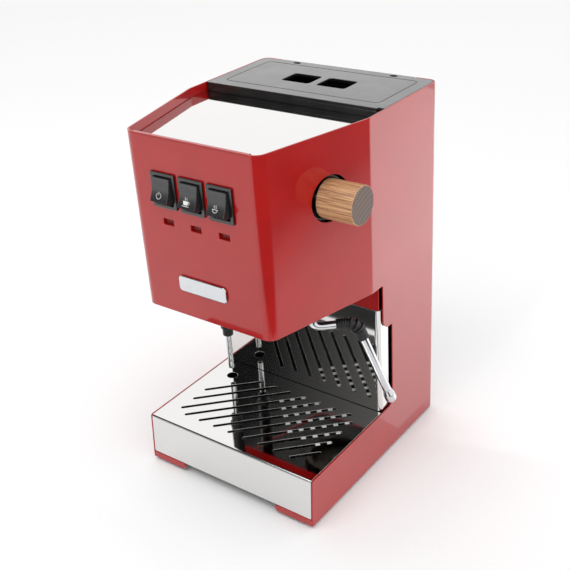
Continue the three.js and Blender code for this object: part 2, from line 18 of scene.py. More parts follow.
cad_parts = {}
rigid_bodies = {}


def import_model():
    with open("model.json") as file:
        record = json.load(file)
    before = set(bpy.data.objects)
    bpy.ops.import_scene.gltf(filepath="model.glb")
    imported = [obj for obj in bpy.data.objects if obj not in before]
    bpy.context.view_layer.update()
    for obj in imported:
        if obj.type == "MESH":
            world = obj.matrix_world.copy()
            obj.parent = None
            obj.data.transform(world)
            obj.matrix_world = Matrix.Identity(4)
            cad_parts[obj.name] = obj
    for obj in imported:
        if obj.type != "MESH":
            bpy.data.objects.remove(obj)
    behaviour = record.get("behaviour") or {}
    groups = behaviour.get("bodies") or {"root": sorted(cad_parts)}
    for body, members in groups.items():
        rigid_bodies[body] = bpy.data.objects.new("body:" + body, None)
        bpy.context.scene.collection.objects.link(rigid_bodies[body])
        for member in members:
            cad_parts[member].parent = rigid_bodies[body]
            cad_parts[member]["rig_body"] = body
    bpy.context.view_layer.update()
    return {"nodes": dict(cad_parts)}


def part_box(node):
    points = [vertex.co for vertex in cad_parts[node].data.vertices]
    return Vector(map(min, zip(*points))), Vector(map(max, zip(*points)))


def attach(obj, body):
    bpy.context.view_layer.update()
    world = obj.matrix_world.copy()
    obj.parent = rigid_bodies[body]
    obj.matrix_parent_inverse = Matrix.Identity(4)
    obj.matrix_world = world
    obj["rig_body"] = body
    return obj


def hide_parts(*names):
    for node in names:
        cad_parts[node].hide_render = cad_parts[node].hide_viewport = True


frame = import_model()
NODES = frame["nodes"]
MM = 0.001

shell_low, shell_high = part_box("body_shell")
ORIGIN = np.array([(shell_low.x + shell_high.x) / 2, shell_high.y, shell_low.z])


def place(points):
    """Millimetres from the machine's zero to metres in the frame."""
    return np.asarray(points, float) * MM + ORIGIN


def span(name):
    """The lowest and highest corner of a frame node, in the machine's millimetres."""
    low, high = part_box(name)
    return (np.array(low) - ORIGIN) / MM, (np.array(high) - ORIGIN) / MM


low, high = span("body_shell")
print("body", np.round(high - low, 1), "mm")

# %% [markdown]
# ## Camera
#
# A product shot is taken from well back with a longer lens, so upright edges stay nearly
# parallel. The camera stands to the right of the controls, looks down at the machine and is
# rolled a few degrees.

# %% Camera
CAMERA_AT = (513.27, -781.74, 624.55)
CAMERA_AZIMUTH = math.radians(37.93)
CAMERA_ELEVATION = math.radians(28.11)
CAMERA_ROLL = math.radians(-3.9)
LENS_MM, SENSOR_MM = 60.31, 36

back = Vector((
    math.sin(CAMERA_AZIMUTH) * math.cos(CAMERA_ELEVATION),
    -math.cos(CAMERA_AZIMUTH) * math.cos(CAMERA_ELEVATION),
    math.sin(CAMERA_ELEVATION),
))
level = Vector((math.cos(CAMERA_AZIMUTH), math.sin(CAMERA_AZIMUTH), 0))
right = Matrix.Rotation(CAMERA_ROLL, 3, back) @ level
turn = Matrix((right, back.cross(right), back)).transposed().to_4x4()
lens = bpy.data.cameras.new("camera")
lens.lens = LENS_MM
lens.sensor_width = SENSOR_MM
lens.dof.use_dof = False
camera = bpy.data.objects.new("camera", lens)
camera.matrix_world = Matrix.Translation(place(CAMERA_AT)) @ turn
bpy.context.scene.collection.objects.link(camera)
bpy.context.scene.camera = camera
bpy.context.scene.view_settings.view_transform = "Standard"
print("lens", LENS_MM, "mm")

# %% [markdown]
# ## Outlines
#
# Sheet parts, mouldings and plates all start as flat outlines. An outline is a short list of
# corners, and one function replaces each corner by an arc, so a shape needs only the points
# that define it.


# %% Outlines
def eased(corners, radii, closed=True, step=9.0):
    """Each corner becomes an arc of its radius, tangent to both sides; 0 keeps the corner."""
    corners = [np.array(c, float) for c in corners]
    radii = radii if isinstance(radii, (list, tuple)) else [radii] * len(corners)
    out = []
    for i, (corner, radius) in enumerate(zip(corners, radii)):
        ends = not closed and i in (0, len(corners) - 1)
        if not radius or ends:
            out.append(corner[None])
            continue
        a = corners[i - 1] - corner
        b = corners[(i + 1) % len(corners)] - corner
        a, b = a / np.linalg.norm(a), b / np.linalg.norm(b)
        half = math.acos(np.clip(a @ b, -1, 1)) / 2
        middle = (a + b) / np.linalg.norm(a + b)
        centre = corner + middle * radius / math.sin(half)
        start = corner + a * radius / math.tan(half) - centre
        end = corner + b * radius / math.tan(half) - centre
        first = math.atan2(start[1], start[0])
        sweep = math.atan2(end[1], end[0]) - first
        sweep = (sweep + math.pi) % (2 * math.pi) - math.pi
        steps = max(2, round(math.degrees(abs(sweep)) / step))
        angle = first + sweep * np.linspace(0, 1, steps + 1)
        out.append(centre + radius * np.column_stack([np.cos(angle), np.sin(angle)]))
    return np.concatenate(out)


def window(u0, u1, v0, v1, radius=0.8):
    """A rectangle with rounded corners."""
    return eased([(u0, v0), (u1, v0), (u1, v1), (u0, v1)], radius)


def pane(u, v, half_u, half_v, radius):
    """A rectangle with rounded corners about its middle."""
    return window(u - half_u, u + half_u, v - half_v, v + half_v, radius)


def ring(radius, u=0.0, v=0.0, count=64):
    """A circle about a point."""
    angle = np.linspace(0, 2 * np.pi, count, endpoint=False)
    return np.column_stack([u + radius * np.cos(angle), v + radius * np.sin(angle)])


def long_hole(start, end, width, steps=10):
    """A round-ended slot: half a circle about each end, joined by straight sides."""
    start, end = np.array(start, float), np.array(end, float)
    along = math.atan2(*(end - start)[::-1])
    angle = np.linspace(-np.pi / 2, np.pi / 2, steps + 1)
    arc = np.column_stack([np.cos(along + angle), np.sin(along + angle)]) * width / 2
    return np.concatenate([end + arc, start - arc])


# %% [markdown]
# ## Sheet blanks
#
# A sheet part is cut flat, holes and all, and then folded. The script does the same. A flat
# curve with a small bevel gives a blank whose edges are softened as a deburred sheet's are.
# The blank is scored across each fold, and a formula then carries every point of the blank
# to its place on the folded part. The fold stays one continuous skin, as it is in steel.


# %% Sheet blanks
def blank(outline, holes=(), thickness=1.5, edge=0.3, rounds=2):
    """A flat sheet in u and v whose w runs from 0 to the thickness, with rounded edges."""
    curve = bpy.data.curves.new("blank", "CURVE")
    curve.dimensions = "2D"
    curve.fill_mode = "BOTH"
    curve.extrude = thickness / 2 - edge
    curve.bevel_depth = edge
    curve.bevel_resolution = rounds
    curve.offset = -edge
    for loop in (outline, *holes):
        spline = curve.splines.new("POLY")
        spline.points.add(len(loop) - 1)
        flat = np.column_stack([loop, np.zeros(len(loop)), np.ones(len(loop))])
        spline.points.foreach_set("co", flat.ravel())
        spline.use_cyclic_u = True
    holder = bpy.data.objects.new("blank", curve)
    bpy.context.scene.collection.objects.link(holder)
    bpy.context.view_layer.update()
    cut = bpy.data.meshes.new_from_object(
        holder.evaluated_get(bpy.context.evaluated_depsgraph_get()))
    bpy.data.objects.remove(holder)
    bpy.data.curves.remove(curve)
    sheet = bmesh.new()
    sheet.from_mesh(cut)
    bpy.data.meshes.remove(cut)
    bmesh.ops.remove_doubles(sheet, verts=sheet.verts, dist=1e-3)
    bmesh.ops.translate(sheet, verts=sheet.verts, vec=(0, 0, thickness / 2))
    return sheet


def score(sheet, axis, places):
    """Cuts the blank's faces across u (axis 0) or v (axis 1) at each place."""
    for at in places:
        point = [0, 0, 0]
        point[axis] = at
        normal = [0, 0, 0]
        normal[axis] = 1
        everything = sheet.verts[:] + sheet.edges[:] + sheet.faces[:]
        bmesh.ops.bisect_plane(sheet, geom=everything, dist=1e-4, plane_co=point, plane_no=normal)


def shaped(sheet, rule):
    """Carries every point (u, v, w) of a form to its place by a rule on whole arrays."""
    mesh = bpy.data.meshes.new("carried")
    sheet.to_mesh(mesh)
    flat = np.empty(len(mesh.vertices) * 3)
    mesh.vertices.foreach_get("co", flat)
    mesh.vertices.foreach_set("co", np.ravel(rule(*flat.reshape(-1, 3).T)))
    sheet.clear()
    sheet.from_mesh(mesh)
    bpy.data.meshes.remove(mesh)
    bmesh.ops.recalc_face_normals(sheet, faces=sheet.faces)
    return sheet


class FoldLine:
    """Straight runs joined by arcs. at(s) gives points and left-hand normals along it."""

    def __init__(self, corners, radii):
        self.runs = []
        self.folds = []
        corners = [np.array(c, float) for c in corners]
        here, s = corners[0], 0.0
        for i in range(1, len(corners)):
            along = corners[i] - corners[i - 1]
            along /= np.linalg.norm(along)
            if i == len(corners) - 1:
                stop = corners[i]
            else:
                onward = corners[i + 1] - corners[i]
                onward /= np.linalg.norm(onward)
                angle = math.atan2(along[0] * onward[1] - along[1] * onward[0], along @ onward)
                reach = radii[i] * math.tan(abs(angle) / 2)
                stop = corners[i] - along * reach
            length = float(np.linalg.norm(stop - here))
            self.runs.append((s, length, here, along, 0.0))
            s += length
            if i < len(corners) - 1:
                arc = radii[i] * abs(angle)
                self.runs.append((s, arc, stop, along, angle / arc))
                self.folds.append((s, s + arc))
                s += arc
                here = corners[i] + onward * reach
        self.length = s

    def at(self, s):
        """On a run, the origin plus t along it; on an arc, sin and 1 - cos of curl times t."""
        s = np.maximum(np.asarray(s, float), 0.0)
        points = np.zeros((len(s), 2))
        left = np.zeros((len(s), 2))
        for start, length, origin, along, curl in self.runs:
            on = s >= start - 1e-6
            t = s[on] - start
            side = np.array([-along[1], along[0]])
            if curl:
                turned = curl * t
                points[on] = (origin + np.outer(np.sin(turned) / curl, along)
                              + np.outer((1 - np.cos(turned)) / curl, side))
                left[on] = np.outer(np.cos(turned), side) - np.outer(np.sin(turned), along)
            else:
                points[on] = origin + np.outer(t, along)
                left[on] = side
        return points, left

    def scores(self, per_fold=10, guard=0.5):
        """Where the blank is scored: across each fold, and just outside it."""
        return np.concatenate([
            np.concatenate([[a - guard], np.linspace(a, b, per_fold + 1), [b + guard]])
            for a, b in self.folds
        ])


# %% [markdown]
# ## Turned and drawn forms
#
# Knobs, nozzles and pipes are round. A turned form is a profile carried round an axis. A
# drawn form is a circle carried along a path whose radius may change on the way, which also
# gives the ribs of a rubber grip. Both are one grid of points worked out as whole arrays.


# %% Turned and drawn forms
def grid_faces(rows, columns, closed=True):
    """Quads between neighbouring rows and columns; closed joins the last column to the first."""
    r = np.arange(rows - 1)[:, None]
    c = np.arange(columns if closed else columns - 1)[None, :]
    n = (c + 1) % columns
    quads = np.stack([r * columns + c, r * columns + n, (r + 1) * columns + n,
                      (r + 1) * columns + c], -1)
    return quads.reshape(-1, 4).tolist()


def closed_form(points, faces):
    """A form from points and faces, its doubles merged and its faces turned outwards."""
    mesh = bpy.data.meshes.new("form")
    mesh.from_pydata(points.reshape(-1, 3).tolist(), [], faces)
    form = bmesh.new()
    form.from_mesh(mesh)
    bpy.data.meshes.remove(mesh)
    bmesh.ops.remove_doubles(form, verts=form.verts, dist=1e-4)
    bmesh.ops.recalc_face_normals(form, faces=form.faces)
    return form


def turned_form(profile, count=64):
    """A profile of (radius, height) rows turned about the height axis; ends lie on the axis."""
    profile = np.asarray(profile, float)
    angle = np.linspace(0, 2 * np.pi, count, endpoint=False)
    radius, height = profile[:, :1], profile[:, 1:]
    points = np.stack([radius * np.cos(angle), radius * np.sin(angle),
                       np.broadcast_to(height, (len(profile), count))], -1)
    return closed_form(points, grid_faces(len(profile), count))


def drawn_form(path, radius, across, count=40):
    """Circles about a flat path, square to it; across is the path plane's normal."""
    ahead = np.gradient(path, axis=0)
    ahead /= np.linalg.norm(ahead, axis=1, keepdims=True)
    across = np.broadcast_to(across, path.shape)
    up = np.cross(ahead, across)
    angle = np.linspace(0, 2 * np.pi, count, endpoint=False)[None, :, None]
    circle = np.cos(angle) * across[:, None] + np.sin(angle) * up[:, None]
    points = path[:, None] + circle * radius[:, None, None]
    points = np.concatenate([points.reshape(-1, 3), path[[0, -1]]])
    last = len(path) * count
    around = np.arange(count)
    onward = (around + 1) % count
    first_cap = np.column_stack([onward, around, np.full(count, last)])
    end_row = last - count
    last_cap = np.column_stack([end_row + around, end_row + onward, np.full(count, last + 1)])
    return closed_form(points, grid_faces(len(path), count) + first_cap.tolist()
                       + last_cap.tolist())


def joined(*forms):
    """Several forms as one."""
    whole = bmesh.new()
    for form in forms:
        mesh = bpy.data.meshes.new("part")
        form.to_mesh(mesh)
        whole.from_mesh(mesh)
        form.free()
        bpy.data.meshes.remove(mesh)
    return whole


# %% [markdown]
# ## Pieces
#
# Every piece is handed over the same way: its mesh is written in metres, creases sharper
# than a set angle stay sharp and the rest is shaded smooth, and it is told which body it
# rides on, which frame nodes it stands for and which finish it carries.

# %% Pieces
made = {}


def handed_over(name, mesh, finish, body, stands_for, crease):
    """Shades a mesh and makes it an object that rides on a body in place of frame nodes."""
    mesh.shade_smooth()
    mesh.set_sharp_from_angle(angle=math.radians(crease))
    mesh.materials.append(finish)
    item = bpy.data.objects.new(name, mesh)
    bpy.context.scene.collection.objects.link(item)
    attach(item, body)
    if stands_for:
        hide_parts(*stands_for)
    made[name] = item
    print(f"{name}: {len(mesh.polygons)} faces")
    return item


def piece(name, form, finish, body, stands_for, crease=34):
    """Writes a form, in millimetres, as a finished object."""
    mesh = bpy.data.meshes.new(name)
    form.to_mesh(mesh)
    form.free()
    points = np.empty(len(mesh.vertices) * 3)
    mesh.vertices.foreach_get("co", points)
    mesh.vertices.foreach_set("co", place(points.reshape(-1, 3)).ravel())
    item = handed_over(name, mesh, finish, body, stands_for, crease)
    even = item.modifiers.new("even shading", "WEIGHTED_NORMAL")
    even.keep_sharp = True
    return item


def turned_piece(name, corners, radii, at, finish, node, step=15, count=48):
    """A profile with eased corners, turned about an upright axis at a place."""
    form = turned_form(eased(corners, radii, False, step), count)
    shaped(form, lambda x, y, z: np.column_stack([x + at[0], y + at[1], z]))
    piece(name, form, finish, "chassis", [node])


def softened(node, finish, edge, crease=34):
    """A copy of a frame node with its doubles merged and its hard edges rounded."""
    source = NODES[node]
    form = bmesh.new()
    form.from_mesh(source.data)
    bmesh.ops.remove_doubles(form, verts=form.verts, dist=1e-6)
    bmesh.ops.dissolve_limit(form, angle_limit=math.radians(0.5), verts=form.verts,
                             edges=form.edges)
    mesh = bpy.data.meshes.new(node + "_moulded")
    form.to_mesh(mesh)
    form.free()
    item = handed_over(node + "_moulded", mesh, finish, source["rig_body"], [node], crease)
    rounding = item.modifiers.new("rounded edges", "BEVEL")
    rounding.width = edge * MM
    rounding.segments = 2
    rounding.limit_method = "ANGLE"
    rounding.angle_limit = math.radians(crease)
    rounding.harden_normals = True


# %% [markdown]
# ## Shader helpers
#
# A colour is written as it would be picked in a paint program, so one function turns it to
# the linear values that the shader works in. Another adds a node with its settings and
# links. Three more say how a pattern acts on a surface: on its colour, its roughness or its
# height. Patterns read Object coordinates in metres, so a scale of one over a length in
# metres makes a pattern that long.


# %% Shader helpers
def paint(code):
    """An sRGB hex colour as linear red, green, blue and 1."""
    parts = np.array([int(code[i:i + 2], 16) / 255 for i in (1, 3, 5)])
    straight = np.where(parts <= 0.04045, parts / 12.92, ((parts + 0.055) / 1.055) ** 2.4)
    return (*straight, 1.0)


def every(mm):
    """The scale of a pattern that repeats about every so many millimetres."""
    return 1 / (mm * MM)


def add(tree, kind, inputs, **settings):
    """Adds a node with its settings. Inputs, by name or in order, are values, hex colours,
    sockets, or nodes whose first output is linked."""
    made_node = tree.nodes.new("ShaderNode" + kind)
    for key, value in settings.items():
        setattr(made_node, key, value)
    for key, value in inputs.items() if isinstance(inputs, dict) else enumerate(inputs):
        if isinstance(value, bpy.types.Node):
            value = value.outputs[0]
        if isinstance(value, bpy.types.NodeSocket):
            tree.links.new(value, made_node.inputs[key])
        else:
            made_node.inputs[key].default_value = paint(value) if isinstance(value, str) else value
    return made_node


def start(name, **sockets):
    """A new material; sockets are its shader's constant inputs, with _ for each space."""
    material = bpy.data.materials.new(name)
    material.use_nodes = True
    tree = material.node_tree
    tree.nodes.clear()
    shader = add(tree, "BsdfPrincipled", {k.replace("_", " "): v for k, v in sockets.items()})
    add(tree, "OutputMaterial", {"Surface": shader})
    return material, tree, shader, add(tree, "TexCoord", {}).outputs["Object"]


A, B, MIXED = 6, 7, 2  # the colour sockets of a Mix node
NOISE_LOW, NOISE_HIGH = 0.3, 0.7  # what most of a noise lies between


def tinted(tree, shader, factor, first, second, socket="Base Color"):
    """The surface's colour goes from the first to the second with the factor."""
    colour = add(tree, "Mix", {0: factor, A: first, B: second}, data_type="RGBA")
    tree.links.new(colour.outputs[MIXED], shader.inputs[socket])


def roughened(tree, shader, noise, low, high):
    """The surface's roughness goes from low to high over the range of a noise."""
    spread = add(tree, "MapRange", [noise, NOISE_LOW, NOISE_HIGH, low, high])
    tree.links.new(spread.outputs["Result"], shader.inputs["Roughness"])


def embossed(tree, shader, height, strength, depth_mm):
    """Turns a height pattern into the surface's normal."""
    bump = add(tree, "Bump", {"Height": height, "Strength": strength, "Distance": depth_mm * MM})
    tree.links.new(bump.outputs["Normal"], shader.inputs["Normal"])


def mottled(name, dark, light, low_rough, high_rough, mottle_mm, bump=0.1, depth_mm=0.05,
            detail=3.0, **sockets):
    """A finish whose colour, roughness and height all follow one noise of a given size."""
    material, tree, shader, where = start(name, **sockets)
    noise = add(tree, "TexNoise", {"Vector": where, "Scale": every(mottle_mm), "Detail": detail})
    tinted(tree, shader, noise, dark, light)
    roughened(tree, shader, noise, low_rough, high_rough)
    embossed(tree, shader, noise, bump, depth_mm)
    print("finish:", name)
    return material


# %% [markdown]
# ## Red enamel
#
# The body is steel sheet, sprayed and baked with a gloss polyester. Up close such paint has
# orange peel, a ripple a couple of millimetres across, and it is a touch darker where the
# coat is thick. A clear coat over a slightly rough base gives the sharp highlights over a
# soft glow. The ripple is a bump too faint to see except in reflections.

# %% Red enamel
RED_ENAMEL, tree, shader, where = start("baked_red_polyester_on_steel", Roughness=0.35,
                                        Specular_IOR_Level=0.2, Coat_Weight=1.0,
                                        Coat_Roughness=0.04)
cloud = add(tree, "TexNoise", {"Vector": where, "Scale": every(35), "Detail": 2.0})
film = add(tree, "TexNoise", {"Vector": where, "Scale": every(2.2), "Detail": 2.0})
thickness = add(tree, "MapRange", [cloud, NOISE_LOW, NOISE_HIGH, 0.0, 1.0])
tinted(tree, shader, thickness, "#A20706", "#AA0907")
embossed(tree, shader, film, 0.08, 0.03)

# %% [markdown]
# ## Mirror-polished stainless steel
#
# The cup plate, splash panel and drip cover are stainless sheet, polished to a mirror. What
# the eye reads is the room, slightly bent by the sheet's own waviness, with the faintest
# haze from fine polishing marks. A metal shader with very low roughness does this; one slow
# noise bends the picture and one stretched noise hazes it.

# %% Mirror-polished stainless steel
MIRROR_STEEL, tree, shader, where = start("mirror_polished_stainless_sheet", Metallic=1.0)
wave = add(tree, "TexNoise", {"Vector": where, "Scale": every(55), "Detail": 1.0})
grain_map = add(tree, "Mapping", {"Vector": where, "Scale": (every(40), every(0.6), every(0.6))})
marks = add(tree, "TexNoise", {"Vector": grain_map, "Scale": 1.0, "Detail": 3.0})
tinted(tree, shader, marks, "#DDDCDA", "#E4E3E2")
roughened(tree, shader, marks, 0.03, 0.06)
embossed(tree, shader, wave, 0.03, 0.3)

# %% [markdown]
# ## Chrome plate
#
# The wand, the drain pipe and the plaque are brass or zinc under bright chrome. Chrome is a
# little cooler and darker than polished steel and almost without haze.

# %% Chrome plate
CHROME = mottled("bright_chrome_plate", "#C9CBCE", "#DADBDD", 0.05, 0.12, 9, 0.05, detail=2.0,
                 Metallic=1.0)

# %% [markdown]
# ## Black ABS and nylon
#
# The top frame, lid, switch bezels and trays are ABS, moulded in a lightly spark-eroded
# tool. That leaves a fine even grain, drawn here a little coarser than real so it shows, and
# a satin sheen that turns light grey where it looks at a bright room. The rockers are a
# smoother nylon, a little greyed by handling.

# %% Black ABS and nylon
BLACK_ABS, tree, shader, where = start("spark_grained_black_abs", Coat_Weight=0.8,
                                       Coat_Roughness=0.22)
spark = add(tree, "TexNoise", {"Vector": where, "Scale": every(0.7), "Detail": 2.0})
flow = add(tree, "TexNoise", {"Vector": where, "Scale": every(24), "Detail": 1.0})
tinted(tree, shader, flow, "#0C0C0D", "#111112")
roughened(tree, shader, flow, 0.30, 0.38)
embossed(tree, shader, spark, 0.1, 0.04)
GLOSS_BLACK = mottled("gloss_black_nylon_rocker", "#29292B", "#313133", 0.20, 0.30, 5, 0.04, 0.1,
                      Coat_Weight=0.7, Coat_Roughness=0.2)

# %% [markdown]
# ## Rubber, lens, ink and the hidden finishes
#
# The grip and feet are black rubber, matt with a fine bloom. The lamps are dull translucent
# plastic. The switch marks are pad-printed white ink. Inside are zinc-plated steel, cast
# aluminium, machined brass, milky hose and a smoked tank.

# %% Rubber, lens, ink and the hidden finishes
RUBBER = mottled("moulded_black_rubber", "#0B0B0C", "#131314", 0.3, 0.42, 1.2, 0.2)
LENS = mottled("dull_red_acrylic_lens", "#7A1D1C", "#93332D", 0.18, 0.3, 2.5, 0.2,
               Transmission_Weight=0.15, IOR=1.49)
INK = mottled("pad_printed_white_ink", "#D9D9D6", "#EDEDEA", 0.45, 0.6, 0.5)
ZINC = mottled("zinc_plated_steel", "#8E9194", "#A9ACAE", 0.3, 0.5, 3, Metallic=1.0)
CAST = mottled("cast_aluminium", "#97999B", "#B1B3B4", 0.4, 0.6, 0.9, 0.35, Metallic=1.0)
BRASS = mottled("machined_brass", "#A9833F", "#C49B52", 0.22, 0.38, 1.5, 0.08, Metallic=1.0)
SATIN_STEEL = mottled("satin_stainless_bar", "#A5A6A7", "#BEBFC0", 0.22, 0.36, 0.8, Metallic=1.0)
HOSE = mottled("milky_silicone_hose", "#C9C5BA", "#DBD7CD", 0.3, 0.45, 3)
SMOKED = mottled("smoked_san_tank", "#0D0D0E", "#161617", 0.12, 0.2, 8, 0.05)
# Chromed brass for the group, painted dark: the colour carries the shade under the housing.
SHADE_DARKENED_CHROME = mottled("chromed_brass_painted_dark_for_shade", "#3E3A36", "#55504A", 0.25, 0.4, 6, Metallic=1.0)
# Painted highlight: white caps on the tray ribs give the bright glints through the drip cover's
# slots.
PAINTED_GLINT_WHITE = mottled("white_painted_glint_finish", "#E4E4E1", "#F2F2EF", 0.3, 0.45, 2)
CEILING_BLACK = mottled("black_painted_steel", "#0B0B0C", "#131314", 0.45, 0.6, 1.5, 0.2)

# %% [markdown]
# ## Walnut
#
# The knob is turned from walnut with the grain along its axis and then oiled. Along the
# side the eye sees long streaks, brown on darker brown, and short dark pores. On the end the
# fibres are cut across, so it is greyer, flatter and shows the growth rings. The streaks are
# noise stretched along the axis, and the rings are waves about a centre beside the knob.

# %% Walnut
WALNUT, tree, shader, where = start("oiled_walnut_along_the_grain")
streak_map = add(tree, "Mapping", {"Vector": where, "Scale": (every(45), every(1.3), every(1.3))})
streak = add(tree, "TexNoise", {"Vector": streak_map, "Scale": 1.0, "Detail": 4.0,
                                "Distortion": 0.6})
pore_map = add(tree, "Mapping", {"Vector": where, "Scale": (every(7), every(0.45), every(0.45))})
pore = add(tree, "TexNoise", {"Vector": pore_map, "Scale": 1.0, "Detail": 2.0})
figure = add(tree, "MapRange", [streak, 0.38, 0.62, 0.0, 1.0])
wood = add(tree, "Mix", {0: figure, A: "#966A48", B: "#D3A77A"}, data_type="RGBA")
pores = add(tree, "MapRange", [pore, 0.58, 0.7, 0.0, 0.6])
tinted(tree, shader, pores, wood.outputs[MIXED], "#6A452B")
roughened(tree, shader, streak, 0.5, 0.36)
embossed(tree, shader, pore, 0.25, 0.08)

END_GRAIN, tree, shader, where = start("sanded_walnut_end_grain", Roughness=0.62)
ring_map = add(tree, "Mapping", {"Vector": where, "Location": (0.0, 0.02, -0.26)})
growth = add(tree, "TexWave", {"Vector": ring_map, "Scale": 70.0, "Distortion": 1.2,
                               "Detail": 2.0, "Detail Scale": 2.0},
             wave_type="RINGS", rings_direction="X").outputs["Fac"]
speck = add(tree, "TexNoise", {"Vector": where, "Scale": every(0.7), "Detail": 2.0})
cut_wood = add(tree, "Mix", {0: growth, A: "#625049", B: "#75625A"}, data_type="RGBA")
specks = add(tree, "MapRange", [speck, 0.5, 0.75, 0.0, 0.5])
tinted(tree, shader, specks, cut_wood.outputs[MIXED], "#4A3A33")
embossed(tree, shader, speck, 0.25, 0.08)

# %% [markdown]
# ## Body
#
# The whole red body is one folded sheet: rear flanges, tall sides, a crease where the sides
# start to taper, and a front panel with tight round corners. Below the housing the same side
# sheet runs forward flat, as the walls of the base. It could be built as boxes, but the
# folds would then be joints. Here the outline is drawn once on the flat sheet, with distance
# along the fold line across and height up.

# %% Body
SHEET = 1.5
HALF_W = (high[0] - low[0]) / 2
HEIGHT = high[2]
FRONT_Y = -239.8
FRONT_HALF = 72.1
CREASE_Y = -121.7
WRAP_X = 78.0
HOUSING_Z = 195.8
COLUMN_Y = -104.2
BASE_TOP = 51.4
BASE_FRONT_TOP = -232.5
BASE_FRONT_LOW = low[1] if low[1] > -237 else -236.0
SWITCHES = {"power": -32.3, "brew": -1.0, "steam": 30.3}
SWITCH_Z = 316.8
LAMP_Z, LAMP_HALF = 286.7, (5.9, 2.9)
KNOB_Y, KNOB_Z, KNOB_R = -168.0, 306.5, 17.5

REAR_BEND, FRONT_BEND = 9, 11
plan = [(-WRAP_X, 0), (-HALF_W, 0), (-HALF_W, CREASE_Y), (-FRONT_HALF, FRONT_Y),
        (FRONT_HALF, FRONT_Y), (HALF_W, CREASE_Y), (HALF_W, 0), (WRAP_X, 0)]
bends = [REAR_BEND, REAR_BEND, FRONT_BEND]
upper = FoldLine(plan, [0, *bends, *bends[::-1], 0])
lower = FoldLine([(-WRAP_X, 0), (-HALF_W, 0), (-HALF_W, -260)], [0, REAR_BEND, 0])
REACH = upper.length
side_start = lower.folds[0][1]


def along_side(y):
    """How far along the sheet a point of the left side wall is."""
    return side_start - REAR_BEND - y


def body_rule(s, z, w):
    """The upper part follows the whole fold line, and the lower part only its rear folds."""
    points, inward = upper.at(s)
    base = z < HOUSING_Z - 6
    right_half = s > REACH / 2
    low_points, low_inward = lower.at(np.where(right_half, REACH - s, s))
    mirror = np.where(right_half, -1.0, 1.0)[:, None] * np.array([[1.0, 0.0]]) + [[0.0, 1.0]]
    points = np.where(base[:, None], low_points * mirror, points)
    inward = np.where(base[:, None], low_inward * mirror, inward)
    return np.column_stack([points + inward * w[:, None], z])


SHOULDER_Y, SHOULDER_Z = -87.7, 146.5
side_profile = [
    (along_side(COLUMN_Y), HOUSING_Z), (along_side(COLUMN_Y), SHOULDER_Z),
    (along_side(SHOULDER_Y), SHOULDER_Z), (along_side(SHOULDER_Y), BASE_TOP),
    (along_side(BASE_FRONT_TOP), BASE_TOP),
    (along_side(BASE_FRONT_LOW), 0), (0, 0),
]
left_half = eased([(0, HEIGHT), (REACH / 2, HEIGHT), (REACH / 2, HOUSING_Z), *side_profile],
                  [0.8, 0, 0, 1.5, 11.5, 1.0, 8.5, 2.5, 1.5, 0.8])
left_half = left_half[(np.abs(left_half[:, 0] - REACH / 2) > 1e-6)]
right_side = left_half[::-1] * [-1, 1] + [REACH, 0]
count = np.argmax(left_half[:, 1] < HOUSING_Z + 1e-6)
body_outline = np.concatenate([left_half[count:], left_half[:count], right_side[-count:],
                               right_side[:-count]])
wall_run = (CREASE_Y - KNOB_Y) / math.cos(math.atan2(HALF_W - FRONT_HALF, CREASE_Y - FRONT_Y))
fold_a, fold_b = upper.folds[1]
knob_s = REACH - ((fold_a + fold_b) / 2 + wall_run)
openings = [ring(21.1, knob_s, KNOB_Z)]
for x in SWITCHES.values():
    openings.append(pane(REACH / 2 + x, SWITCH_Z, 12, 14.6, 1))
    openings.append(pane(REACH / 2 + x, LAMP_Z, *LAMP_HALF, 0.5))
body_sheet = blank(body_outline, openings, SHEET, edge=0.35)
score(body_sheet, 0, upper.scores(12))
shaped(body_sheet, body_rule)

# %% [markdown]
# Small folded details finish the body: a hem along the top of the front panel, the lower
# edges turned in, the two front foot tabs, and a short red wall behind each lamp window.


# %% Body details
def laid(z0, outline, holes=(), thickness=SHEET, edge=0.3, rounds=2):
    """A blank laid level with its lower face at a height."""
    return shaped(blank(outline, holes, thickness, edge, rounds),
                  lambda u, v, w: np.column_stack([u, v, z0 + w]))


def stood(y0, outline, holes=(), thickness=SHEET, edge=0.3, rounds=2):
    """A blank stood upright with its front face at a depth."""
    return shaped(blank(outline, holes, thickness, edge, rounds),
                  lambda u, v, w: np.column_stack([u, y0 + w, v]))


HEM_HALF = 63.2
hem = blank(window(0, 4.2, HEIGHT - 2.4, HEIGHT, 1.1), (), 2 * HEM_HALF, 0.05)
folded = [shaped(hem, lambda u, v, w: np.column_stack([w - HEM_HALF, FRONT_Y + u, v]))]
foot_tab = eased([(101.2, 0), (59, 0), (54, 7.2), (101.2, 7.2)], [0.5, 2, 3.5, 0.5])
lip = window(90, HALF_W - 0.4, BASE_FRONT_LOW + 0.6, -9, 1)
for side in (-1, 1):
    folded.append(stood(BASE_FRONT_LOW, foot_tab * [side, 1], edge=0.35))
    folded.append(laid(0, lip * [side, 1], edge=0.35))
for x in SWITCHES.values():
    folded.append(stood(FRONT_Y + 1, pane(x, LAMP_Z, LAMP_HALF[0] + 1, LAMP_HALF[1] + 1, 0.5),
                        [pane(x, LAMP_Z, *LAMP_HALF, 0.5)], 4, 0.1))
piece("folded_body", joined(body_sheet, *folded), RED_ENAMEL, "chassis", ["body_shell"],
      40)

apron_low, apron_high = span("rear_apron")
apron = window(apron_low[0], apron_high[0], apron_low[2], apron_high[2], 1)
piece("rear_cross_wall", stood(apron_low[1], apron), RED_ENAMEL, "chassis", ["rear_apron"])

# %% [markdown]
# ## Top: cup plate, frame and lid
#
# Cups warm on a mirror-polished plate that lies a little below the rim. Behind it a moulded
# frame holds the lid of the water tank in a shallow ledge. The mouldings are stacked plates
# with their edges rounded, because all their faces are flat and only the edges catch light.

